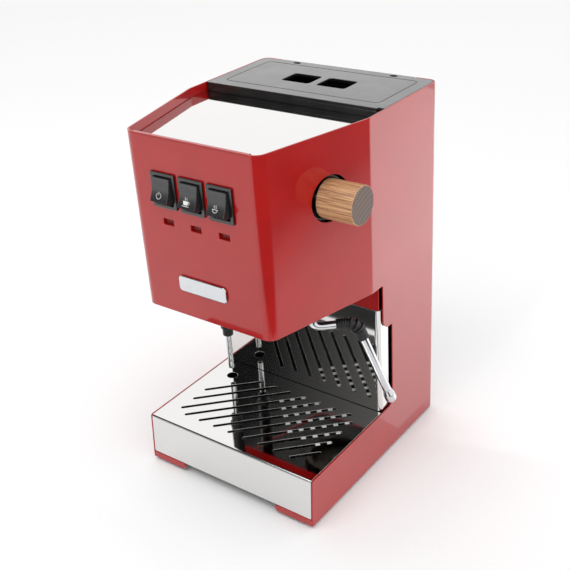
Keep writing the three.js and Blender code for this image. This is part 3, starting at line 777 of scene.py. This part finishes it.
# %% Cup plate
plate_low, plate_high = span("cup_plate")
rim, inward = upper.at(np.linspace(0, upper.length, 1200))
rim = rim + inward * (SHEET + 0.8)
rim = rim[rim[:, 1] < plate_high[1] - 0.3]
cup_outline = np.concatenate([[[rim[0, 0], plate_high[1]]], rim, [[rim[-1, 0], plate_high[1]]]])
ahead = np.diff(cup_outline, axis=0)
keep = np.concatenate([[True], np.linalg.norm(ahead, axis=1) > 0.3])
cross = ahead[:-1, 0] * ahead[1:, 1] - ahead[:-1, 1] * ahead[1:, 0]
keep[1:-1] &= np.abs(cross) > 1e-4
piece("cup_warming_plate", laid(plate_low[2], cup_outline[keep], (), 1.2, 0.25), MIRROR_STEEL,
      "chassis", ["cup_plate"])

# %% [markdown]
# The frame is two plates on each other: a ledge that carries the lid, and a rim with two
# screw slots and a step at its front right corner. The lid has two finger holes.

# %% Top frame and lid
frame_low, frame_high = span("top_frame")
lid_low, lid_high = span("tank_lid")
LEDGE_Z = 361.6
SCREW_Y, SCREW_X = -5.6, 56.5
tongue = [(frame_high[0], -1.9), (77.4, -1.9), (77.4, frame_high[1]), (-77.4, frame_high[1]),
          (-77.4, -1.9), (frame_low[0], -1.9)]
tongue_radii = [7.6, 0.3, 0.6, 0.6, 0.3, 7.6]
ledge_outline = eased([tuple(frame_low[:2]), (frame_high[0], frame_low[1]), *tongue],
                      [1.2, 1.2, *tongue_radii])
rim_outline = eased([tuple(frame_low[:2]), (93.4, frame_low[1]), (93.4, -94.6),
                     (frame_high[0], -94.6), *tongue], [1.2, 0.4, 0.8, 0.8, *tongue_radii])
screw_slots = [long_hole((x - 1.7, SCREW_Y), (x + 1.7, SCREW_Y), 4.6) for x in (-SCREW_X, SCREW_X)]
rim_plate = laid(LEDGE_Z, rim_outline, [pane(0, -48, 87.4, 36.4, 6), *screw_slots],
                 HEIGHT - LEDGE_Z, 0.5, 3)
ledge = laid(frame_low[2], ledge_outline, [pane(0, -48, 82, 31.5, 5)],
             LEDGE_Z - frame_low[2] + 0.05)
piece("lid_frame", joined(rim_plate, ledge), BLACK_ABS, "chassis", ["top_frame"])
finger_holes = [window(u, u + 31.8, -61.2, -36.4, 3) for u in (-36.2, 4.4)]
lid_outline = window(lid_low[0], lid_high[0], lid_low[1], lid_high[1], 5.6)
piece("tank_lid_moulding", laid(lid_low[2], lid_outline, finger_holes, lid_high[2] - lid_low[2],
                                0.6, 3), BLACK_ABS, "lid", ["tank_lid"])

# %% [markdown]
# ## Switches, lamps and plaque
#
# Each rocker switch is a bezel with a dished rocker, pressed in at the top when it rests.
# The dish is a parabola, y = depth + rise (z / half height) squared. White marks are printed
# on the lower half: a power sign, a cup and a steaming bowl. The lamps sit behind windows,
# ribbed across to spread their light.

# %% Switches
ROCKER_HALF = 10.4
ROCKER_W = 19.0
TILT = math.radians(-17)
PIVOT_Y = FRONT_Y + 0.5


def rocker_face(z):
    """How far forward the dished face is, at a height from the pivot."""
    return -6.8 - 1.2 * (z / ROCKER_HALF) ** 2


def tipped(x0):
    """Carries a form made about the pivot to its place, tipped to its resting angle."""
    def rule(x, y, z):
        """Turns y and z about the pivot by the tilt, then moves all three."""
        return np.column_stack([x + x0,
                                y * math.cos(TILT) - z * math.sin(TILT) + PIVOT_Y,
                                y * math.sin(TILT) + z * math.cos(TILT) + SWITCH_Z])
    return rule


def rocker_form():
    """The rocker's side profile carried across its width."""
    z = np.linspace(-ROCKER_HALF, ROCKER_HALF, 23)
    face = np.column_stack([rocker_face(z), z])
    backside = [(-6.6, 10.9), (-1.5, 12.1), (2.4, 9.6), (3.4, 4), (3.4, -4), (2.4, -9.6),
                (-1.5, -12.1), (-6.6, -10.9)]
    sides = blank(np.concatenate([face, backside]), (), ROCKER_W, 0.45, 3)
    return shaped(sides, lambda u, v, w: np.column_stack([w - ROCKER_W / 2, u, v]))


def stroke(points, width):
    """A band of a given width along a few points, as a closed outline."""
    points = np.asarray(points, float)
    ahead = np.gradient(points, axis=0)
    ahead /= np.linalg.norm(ahead, axis=1, keepdims=True)
    side = np.column_stack([-ahead[:, 1], ahead[:, 0]]) * width / 2
    return np.concatenate([points + side, (points - side)[::-1]])


def arc(radius, first, last, u=0.0, v=0.0, count=24):
    """Part of a circle between two angles in degrees."""
    angle = np.radians(np.linspace(first, last, count))
    return np.column_stack([u + radius * np.cos(angle), v + radius * np.sin(angle)])


wisp = np.column_stack([0.4 * np.sin(np.linspace(0, 2 * np.pi, 9)), np.linspace(0, 2.6, 9)])
MARKS = {
    "power": [stroke(arc(2.55, 118, 422), 0.42), stroke([(0, 1.0), (0, 2.2), (0, 3.6)], 0.42)],
    "brew": [eased([(-3.5, 1.3), (2.4, 1.3), (1.7, -2.0), (-2.8, -2.0)], [0.1, 0.1, 1.3, 1.3]),
             stroke(arc(1.2, -80, 80, 2.3, -0.2), 0.45),
             stroke([(-4.2, -3.0), (-0.5, -3.0), (3.2, -3.0)], 0.5),
             stroke(wisp + [-1.4, 1.9], 0.36), stroke(wisp + [0.4, 1.9], 0.36)],
    "steam": [stroke(arc(2.5, 180, 360, 0, 0.2), 0.42),
              stroke([(-2.9, 0.3), (0, 0.3), (2.9, 0.3)], 0.42),
              stroke(wisp + [-1.0, 1.1], 0.36), stroke(wisp + [0.9, 1.3], 0.36)],
}
MARK_X, MARK_Z = -0.6, -4.9
BEZEL_HALF, BOX_HALF, THROAT_HALF = (13.7, 16.4), (11.6, 14.2), (10.2, 13)


def printed(outline):
    """A thin layer of ink on the lower half of the dished face, before the rocker is tipped."""
    return shaped(blank(outline, (), 0.12, 0.02, 0), lambda u, v, w: np.column_stack(
        [u + MARK_X, rocker_face(v + MARK_Z) - 0.08 + w, v + MARK_Z]))


for use, x in SWITCHES.items():
    throat = [pane(x, SWITCH_Z, *THROAT_HALF, 1)]
    box = pane(x, SWITCH_Z, *BOX_HALF, 0.8)
    bezel = joined(stood(FRONT_Y - 2, pane(x, SWITCH_Z, *BEZEL_HALF, 1.4), throat, 1.8, 0.6, 3),
                   stood(FRONT_Y - 0.6, box, throat, 11.6, 0.2),
                   stood(FRONT_Y + 10.8, box, (), 8))
    piece(f"{use}_bezel", bezel, BLACK_ABS, "chassis", [f"{use}_switch_bezel"])
    piece(f"{use}_rocker", shaped(rocker_form(), tipped(x)), GLOSS_BLACK, f"{use}_rocker",
          [f"{use}_switch_rocker"])
    mark = joined(*[printed(outline) for outline in MARKS[use]])
    piece(f"{use}_mark", shaped(mark, tipped(x)), INK, f"{use}_rocker", [])

# %% [markdown]
# Each lamp lens has seven upright ribs on its face, a row of arches |sin|. The plaque is a
# plain chromed plate with rounded corners.

# %% Lamps and plaque
LENS_RIBS, RIB_RISE = 7, 0.35
for use in SWITCHES:
    lens_low, lens_high = span(f"{use}_lamp_lens")
    u = np.linspace(lens_low[0], lens_high[0], LENS_RIBS * 8 + 1)
    arches = np.abs(np.sin(np.pi * LENS_RIBS * (u - u[0]) / (u[-1] - u[0])))
    lens_outline = np.concatenate([np.column_stack([u, lens_low[1] + RIB_RISE * (1 - arches)]),
                                   [[u[-1], lens_high[1]], [u[0], lens_high[1]]]])
    lens_form = laid(lens_low[2], lens_outline, (), lens_high[2] - lens_low[2], 0.05, 1)
    piece(f"{use}_lamp", lens_form, LENS, "chassis", [f"{use}_lamp_lens"])

badge_low, badge_high = span("badge_plaque")
badge_outline = window(badge_low[0], badge_high[0], badge_low[2], badge_high[2], 4)
piece("plain_plaque", stood(badge_low[1], badge_outline, (), badge_high[1] - badge_low[1], 0.8, 4),
      CHROME, "chassis", ["badge_plaque"])

# %% [markdown]
# ## Steam knob
#
# A plain walnut cylinder with a small chamfer, turned on a lathe, stands in a black sleeve
# set in the side wall. It is a turned form laid along X. The end face has its own end-grain
# finish, given to the faces that look along the axis.

# %% Steam knob
knob_low, knob_high = span("steam_knob")
knob_profile = eased([(0, knob_low[0]), (KNOB_R - 0.4, knob_low[0]), (KNOB_R, knob_low[0] + 1),
                      (KNOB_R, knob_high[0]), (0, knob_high[0])], [0, 0, 0, 0.9, 0], False, 15)
knob_form = turned_form(knob_profile, 96)
shaped(knob_form, lambda x, y, z: np.column_stack([z, x + KNOB_Y, y + KNOB_Z]))
knob = piece("walnut_knob", knob_form, WALNUT, "knob", ["steam_knob"], 30)
knob.data.materials.append(END_GRAIN)
facing = np.empty(len(knob.data.polygons) * 3, np.float32)
knob.data.polygons.foreach_get("normal", facing)
knob.data.polygons.foreach_set("material_index",
                               (facing.reshape(-1, 3)[:, 0] > 0.98).astype(np.int32))

# %% [markdown]
# ## Steam wand
#
# A chrome pipe leaves a nut under the housing, turns forward and then down, with a ribbed
# rubber grip over the bend and a turned nozzle at its tip. The pipe lies in one upright
# plane, so its path is flat: straight runs eased by curves. The grip is the same path with a
# larger radius that swells into ribs.

# %% Steam wand
WAND_X, WAND_Y, WAND_YAW = 60.0, -165.0, math.radians(40)
PIPE_R, GRIP_R = 4.1, 4.4
BEND, TIP = (42.4, 170.5), (70.4, 92.6)
wand_out = np.array([math.cos(WAND_YAW), math.sin(WAND_YAW), 0])
wand_across = np.array([-math.sin(WAND_YAW), math.cos(WAND_YAW), 0])
wand_foot = np.array([WAND_X, WAND_Y, 0])


def flat_path(corners, ease, spacing=0.8):
    """Straight runs between corners, each corner replaced by a quadratic curve."""
    corners = [np.array(c, float) for c in corners]
    runs, here = [], corners[0]
    for before, corner, after in zip(corners, corners[1:], corners[2:]):
        a = corner + (before - corner) / np.linalg.norm(before - corner) * ease
        b = corner + (after - corner) / np.linalg.norm(after - corner) * ease
        runs.append(here + (a - here) * np.linspace(0, 1, 3)[:-1, None])
        t = np.linspace(0, 1, 24)[:, None]
        runs.append((1 - t) ** 2 * a + 2 * t * (1 - t) * corner + t ** 2 * b)
        here = b
    runs.append(here + (corners[-1] - here) * np.linspace(0, 1, 3)[1:, None])
    line = np.concatenate(runs)
    travelled = np.concatenate([[0], np.cumsum(np.linalg.norm(np.diff(line, axis=0), axis=1))])
    even = np.linspace(0, travelled[-1], int(travelled[-1] / spacing) + 1)
    return np.column_stack([np.interp(even, travelled, c) for c in line.T])


def in_wand_plane(line):
    """Points given as distance out and height, in the wand's upright plane."""
    return wand_foot + np.outer(line[:, 0], wand_out) + np.outer(line[:, 1], [0, 0, 1])


pipe_line = flat_path([(0, 204.6), (0, 169.5), BEND, TIP], 11)
piece("wand_pipe", drawn_form(in_wand_plane(pipe_line), np.full(len(pipe_line), PIPE_R),
                              wand_across), CHROME, "wand", ["wand_tube"])

grip_line = flat_path([(23, 170), BEND, (48.9, 152.5)], 11, 0.2)
t = np.linspace(0, 1, len(grip_line))
fine = 0.6 * np.abs(np.cos(np.pi * t / 0.06))
coarse = 1.9 * np.clip(np.cos(2 * np.pi * (t - 0.5) / 0.135), 0, 1) ** 0.5
swell = np.where((t > 0.3) & (t < 0.7), coarse, fine)
ends = np.clip(np.minimum(t, 1 - t) / 0.02, 0, 1) ** 0.5
grip_radius = GRIP_R + (0.8 + swell) * ends
piece("ribbed_grip", drawn_form(in_wand_plane(grip_line), grip_radius, wand_across),
      RUBBER, "wand", ["wand_grip"], 50)

# %% [markdown]
# The nozzle is turned about the pipe's own last run, and the nut about the upright axis on
# which the wand swings.

# %% Nozzle and nut
tip_ahead = np.subtract(TIP, BEND) / np.linalg.norm(np.subtract(TIP, BEND))
tip_axis = tip_ahead[0] * wand_out + tip_ahead[1] * np.array([0, 0, 1])
tip_side = np.cross(tip_axis, wand_across)
tip_base = in_wand_plane(np.array([TIP]))[0] + tip_axis * 0.3
tip_profile = eased([(0, 0), (4.2, 0), (5.7, 6), (5.7, 12), (2.6, 15.4), (0, 15.6)],
                    [0, 0.5, 5, 3.5, 1.2, 0], False, 10)
tip_form = shaped(turned_form(tip_profile, 48), lambda x, y, z: tip_base + np.outer(
    x, wand_across) + np.outer(y, tip_side) + np.outer(z, tip_axis))
piece("steam_nozzle", tip_form, CHROME, "wand", ["wand_nozzle"])
turned_piece("wand_swivel_nut", [(0, 189), (8, 189), (9.4, 191.4), (9.4, 212), (0, 212)],
             [0, 0.6, 0.8, 0.8, 0], (WAND_X, WAND_Y), CHROME, "wand_nut")

# %% [markdown]
# ## Drain pipe
#
# A three-way valve empties the group through a thin chrome pipe in a stepped rubber boot.

# %% Drain pipe
DRAIN = (-74.0, -132.0)
drain_z = span("drain_tube")[0][2]
turned_piece("drain_pipe", [(0, 112), (2.1, 112), (2.1, drain_z), (3, drain_z), (3, 116), (0, 116)],
             [0, 0, 0.3, 0.3, 0, 0], DRAIN, CHROME, "drain_tube", 30, 36)
turned_piece("drain_pipe_boot", [(0, 106), (3.4, 106), (3.4, 103.4), (5.6, 103.4), (5.6, 111.5),
                                 (7.2, 112.8), (7.2, 118.5), (6.5, 119.5), (6.5, 200.6),
                                 (0, 200.6)],
             [0, 0.2, 0.5, 0.8, 0.5, 0.6, 0.6, 0.6, 0, 0], DRAIN, RUBBER, "drain_boot",
             20, 40)

# %% [markdown]
# ## Splash panel
#
# Behind the cup bay stands a plain polished panel, its two edges folded back. The dark lines
# that seem to be slots in it are the slots of the drip cover, seen in it as in a mirror.

# %% Splash panel
splash_low, splash_high = span("splash_panel")
splash_fold = FoldLine([(splash_low[0], splash_high[1]), (splash_low[0], splash_low[1]),
                        (splash_high[0], splash_low[1]), (splash_high[0], splash_high[1])],
                       [0, 5, 5, 0])
splash_blank = blank(window(0, splash_fold.length, splash_low[2], splash_high[2], 1.5), (), 1.0,
                     0.2)
score(splash_blank, 0, splash_fold.scores(8))


def splash_rule(s, z, w):
    """The point of the fold line at s, moved inwards by w, at height z."""
    points, inward = splash_fold.at(s)
    return np.column_stack([points + inward * w[:, None], z])


piece("polished_splash_panel", shaped(splash_blank, splash_rule), MIRROR_STEEL, "chassis",
      ["splash_panel"], 40)

# %% [markdown]
# ## Drip cover and tray
#
# The cover is one polished sheet, folded down at the front as an apron. Its slots all run at
# 45 degrees and stop at the edges of a square field. Below it the black tray has upright
# ribs that cross the slots the other way.

# %% Drip cover
cover_low, cover_high = span("drip_cover")
COVER_BACK = cover_high[1]
cover_fold = FoldLine([(COVER_BACK, BASE_TOP), (BASE_FRONT_TOP, BASE_TOP), tuple(cover_low[1:])],
                      [0, 2.2, 0])
FIELD_LEFT, FIELD_RIGHT, FIELD_FRONT, FIELD_BACK = -82.5, 84.5, -215.2, -124.6
SLOTS, SLOT_PITCH, FIRST_SLOT, SLOT_W = 11, 18.9, -87.5, 3.7
cover_holes = [ring(5.8, DRAIN[0], COVER_BACK - DRAIN[1], 48)]
for k in range(SLOTS):
    offset = FIRST_SLOT - SLOT_PITCH * k
    half = SLOT_W / 2
    x0 = max(FIELD_LEFT + half, FIELD_FRONT + half - offset)
    x1 = min(FIELD_RIGHT - half, FIELD_BACK - half - offset)
    cover_holes.append(long_hole((x0, COVER_BACK - (x0 + offset)),
                                 (x1, COVER_BACK - (x1 + offset)), SLOT_W))
cover_blank = blank(window(cover_low[0], cover_high[0], 0, cover_fold.length, 1.2), cover_holes,
                    1.0, 0.2)
score(cover_blank, 1, cover_fold.scores(8, 0.4))


def cover_rule(x, s, w):
    """The point of the fold line at s, moved inwards by w, at x across the machine."""
    points, inward = cover_fold.at(s)
    return np.column_stack([x, points + inward * w[:, None]])


piece("slotted_drip_cover", shaped(cover_blank, cover_rule), MIRROR_STEEL, "tray_cover",
      ["drip_cover"], 40)

# %% [markdown]
# The tray keeps its frame shape with softened edges. A white cap lies on each rib; its white is
# a painted highlight that gives the bright glints seen through the slots. Each cap is given by
# the sum of its x and y and by the two differences y - x where it starts and stops.

# %% Drip tray
softened("drip_tray", BLACK_ABS, 0.6)
RIBS = ((-142, -134, -228), (-126, -134, -247), (-109.5, -134, -266), (-93, -152, -266),
        (-76.5, -171, -247), (-60, -190, -228))
CAP_W, CAP_Z, CAP_THICK = 4.6, 49.85, 0.3
caps = [laid(CAP_Z, long_hole(((total - a) / 2, (total + a) / 2),
                              ((total - b) / 2, (total + b) / 2), CAP_W), (), CAP_THICK, 0.1)
        for total, a, b in RIBS]
# The white of these caps is a painted highlight for the glints through the slots.
piece("rib_caps_painted_glint", joined(*caps), PAINTED_GLINT_WHITE, "tray", [])

# %% [markdown]
# ## Brew group
#
# The chromed brass group hangs from the ceiling of the bay. Its chrome is painted dark:
# that is painted shade, for the shade under the housing. Its parts are plain turned forms, so
# they are turned again here with finer steps and softer edges.

# %% Brew group
GROUP = (0.0, -168.0)
# The group and its screen both carry the dark chrome, which is painted shade.
turned_piece("chromed_group", [(0, 203), (29.5, 203), (29.5, 184), (35, 184), (35, 203),
                               (42, 206), (42, 213.6), (0, 213.6)],
             [0, 0.5, 0.8, 0.8, 1, 1, 0.5, 0], GROUP, SHADE_DARKENED_CHROME, "group_head", 15, 96)
turned_piece("group_screen", [(0, 194.9), (24.2, 194.9), (25, 195.6), (25, 197), (0, 197)],
             [0, 0.6, 0.4, 0.2, 0], GROUP, SHADE_DARKENED_CHROME, "shower_screen", 20, 72)
turned_piece("group_seal", [(25.6, 196), (29, 196), (29, 202.6), (25.6, 202.6), (25.6, 196)],
             [0, 0.8, 0.3, 0.3, 0], GROUP, RUBBER, "group_gasket", 20, 72)

# %% [markdown]
# ## Everything else on the frame
#
# The rest is seldom seen: panels at the back and below, feet, tank, funnel and the works
# inside. Flat mouldings get their edges rounded, and the hidden works keep their frame mesh
# with a proper finish.

# %% Panels and feet
MOULDED = {
    "back_panel": (BLACK_ABS, 0.3, "black_plastic"), "base_floor": (ZINC, 0.3, "zinc_steel"),
    "bay_ceiling": (CEILING_BLACK, 0.3, "black_plastic"),
    "knob_sleeve": (BLACK_ABS, 0.3, "black_plastic"),
    "mains_inlet": (BLACK_ABS, 0.4, "black_plastic"),
    "tank_funnel": (BLACK_ABS, 0.5, "black_plastic"),
    "funnel_spout": (BLACK_ABS, 0.4, "black_plastic"), "water_tank": (SMOKED, 0.6, "tank_plastic"),
}
for name, (finish, edge, slot) in MOULDED.items():
    softened(name, finish, edge)
for corner in ("front_left", "front_right", "rear_left", "rear_right"):
    foot_low, foot_high = span(f"foot_{corner}")
    turned_piece(f"rubber_foot_{corner}", [(0, foot_low[2]), (7, foot_low[2]), (8, foot_high[2]),
                                           (0, foot_high[2])], [0, 1.2, 0.6, 0],
                 (foot_low + foot_high)[:2] / 2, RUBBER, f"foot_{corner}")

# %% [markdown]
# The works inside are never in plain view, so they keep their frame mesh and get a finish.

# %% The works inside
INSIDE = {
    "frame_screw_left": ZINC, "frame_screw_right": ZINC, "valve_spindle": SATIN_STEEL,
    "valve_needle": SATIN_STEEL, "steam_valve_body": BRASS, "steam_pipe": CHROME,
    "solenoid_body": BLACK_ABS, "solenoid_plunger": SATIN_STEEL, "boiler_lower": CAST,
    "boiler_upper": CAST, "dispersion_plate": BRASS, "screen_screw": SATIN_STEEL,
    "brew_thermostat": ZINC, "steam_thermostat": ZINC, "pump_bracket": ZINC,
    "pump_body": BLACK_ABS, "pump_piston": SATIN_STEEL, "suction_hose": HOSE,
    "return_hose": HOSE, "terminal_block": HOSE,
}
for name, finish in INSIDE.items():
    mesh = NODES[name].data
    mesh.materials.clear()
    mesh.materials.append(finish)
print(len(INSIDE), "inner nodes finished")

# %% [markdown]
# ## Floor
#
# The machine stands on a plain pale floor, wide enough that no edge shows in the main view.
# From low down its far edge can be seen, faint and distant.

# %% Floor
FLOOR = 6000


def flat_sheet(name, corners, height, finish):
    """A level polygon of the stage, given by its corners in millimetres."""
    mesh = bpy.data.meshes.new(name)
    level_corners = place([(x, y, height) for x, y in corners])
    mesh.from_pydata(level_corners.tolist(), [], [tuple(range(len(corners)))])
    mesh.materials.append(finish)
    item = bpy.data.objects.new(name, mesh)
    bpy.context.scene.collection.objects.link(item)
    return item


def matt(name, grain_mm, dark, light, roughness):
    """A matt finish for the stage; returns the material and what a later link needs."""
    material, tree, shader, where = start(name, Roughness=roughness)
    grain = add(tree, "TexNoise", {"Vector": where, "Scale": every(grain_mm), "Detail": 2.0})
    tinted(tree, shader, grain, dark, light)
    return material, tree, shader, where


square = [(-FLOOR, -FLOOR), (FLOOR, -FLOOR), (FLOOR, FLOOR), (-FLOOR, FLOOR)]
flat_sheet("floor", square, -3.0, matt("pale_paper_floor", 4, "#F6F6F6", "#FAFAFA", 0.8)[0])

# %% [markdown]
# ## Cards
#
# Polished things show what stands round them. A black card lies on the floor in front, to
# the right, and gives the rounded front corner its deep red line. It fades to white towards
# the side wall, so its edge makes no line there. A small black card in front is what the top
# of the splash panel looks at. A lit card to the right makes the side wall pale. The cards
# act in reflections only.

# %% Cards
CARD_Z = -2.0


def away(tree, where, direction, near, far, first, last):
    """A value that goes from first to last with the distance along a level direction."""
    zero = float(ORIGIN @ direction)
    run = add(tree, "VectorMath", [where, direction], operation="DOT_PRODUCT").outputs["Value"]
    return add(tree, "MapRange", [run, zero + near * MM, zero + far * MM, first,
                                  last]).outputs["Result"]


def only_reflected(card):
    """Shows a card in reflections only: it neither hides the floor nor shades it."""
    card.visible_camera = False
    card.visible_diffuse = False
    card.visible_shadow = False
    card.visible_transmission = False


BLACK_CARD, tree, shader, where = matt("black_card_faded_to_white", 3, "#030303", "#080808", 0.9)
black = shader.inputs["Base Color"].links[0].from_socket
tinted(tree, shader, away(tree, where, (0.82, -0.57, 0), 420, 540, 0, 1), "#F6F6F6", black)
corner_card = [(-16, -568), (281, -508), (391, -356), (412, -240), (440, -60), (700, 260),
               (1500, 900), (1100, -1500), (-316, -1689)]
only_reflected(flat_sheet("corner_card", corner_card, CARD_Z, BLACK_CARD))
front_card = [(-240, -316), (40, -316), (40, -500), (-240, -500)]
only_reflected(flat_sheet("front_card", front_card, CARD_Z,
                          matt("black_card", 3, "#050505", "#0A0A0A", 0.9)[0]))

LIT_CARD, tree, shader, where = start("lit_card")
shader.inputs["Base Color"].default_value = paint("#202020")
cloud = add(tree, "TexNoise", {"Vector": where, "Scale": every(900), "Detail": 0.0})
tinted(tree, shader, cloud, "#F8F8F8", "#FFFFFF", "Emission Color")
tree.links.new(away(tree, where, (1, 0, 0), 115, 320, 1.0, 1.9),
               shader.inputs["Emission Strength"])
side_card = [(112, -60), (260, -20), (420, 60), (900, 420), (900, 1100), (112, 900)]
only_reflected(flat_sheet("side_card", side_card, CARD_Z, LIT_CARD))

# %% [markdown]
# ## Room and key light
#
# The room is white all round but for one dark patch high up in front, to the left, which
# stands for the unlit end of a studio. The polished steel in the cup bay looks at it twice
# over and turns black there. A large soft box beside the patch lights the front.

# %% Room and key light
world = bpy.data.worlds.new("bright_room")
world.use_nodes = True
bpy.context.scene.world = world
sky = world.node_tree
sky.nodes.clear()
toward = add(sky, "TexCoord", {}).outputs["Generated"]
patch = (-0.45, -0.62, 0.64)
nearness = add(sky, "VectorMath", [toward, patch], operation="DOT_PRODUCT").outputs["Value"]
sideways = add(sky, "SeparateXYZ", [toward]).outputs["X"]
unlit = add(sky, "MapRange", [sideways, -0.54, -0.43, 0.012, 0.13])
brightness = add(sky, "MapRange", [nearness, 0.79, 0.87, 1.18, unlit])
room = add(sky, "Background", {"Color": "#FFFFFF", "Strength": brightness})
add(sky, "OutputWorld", {"Surface": room})


def soft_box(name, at, aim, size, power):
    """A square lamp at a place in millimetres, turned to face a point."""
    data = bpy.data.lights.new(name, "AREA")
    data.shape = "RECTANGLE"
    data.size, data.size_y = size
    data.energy = power
    lamp = bpy.data.objects.new(name, data)
    start_at = Vector(place(at))
    aim_at = Vector(place(aim))
    look = (aim_at - start_at).to_track_quat("-Z", "Y")
    lamp.matrix_world = Matrix.Translation(start_at) @ look.to_matrix().to_4x4()
    bpy.context.scene.collection.objects.link(lamp)


soft_box("key_box", (-300, -900, 1500), (0, -200, 100), (0.9, 0.9), 8)

# %% [markdown]
# ## The end
#
# The number of pieces made is printed.

# %% The end
print("pieces made:", len(made))
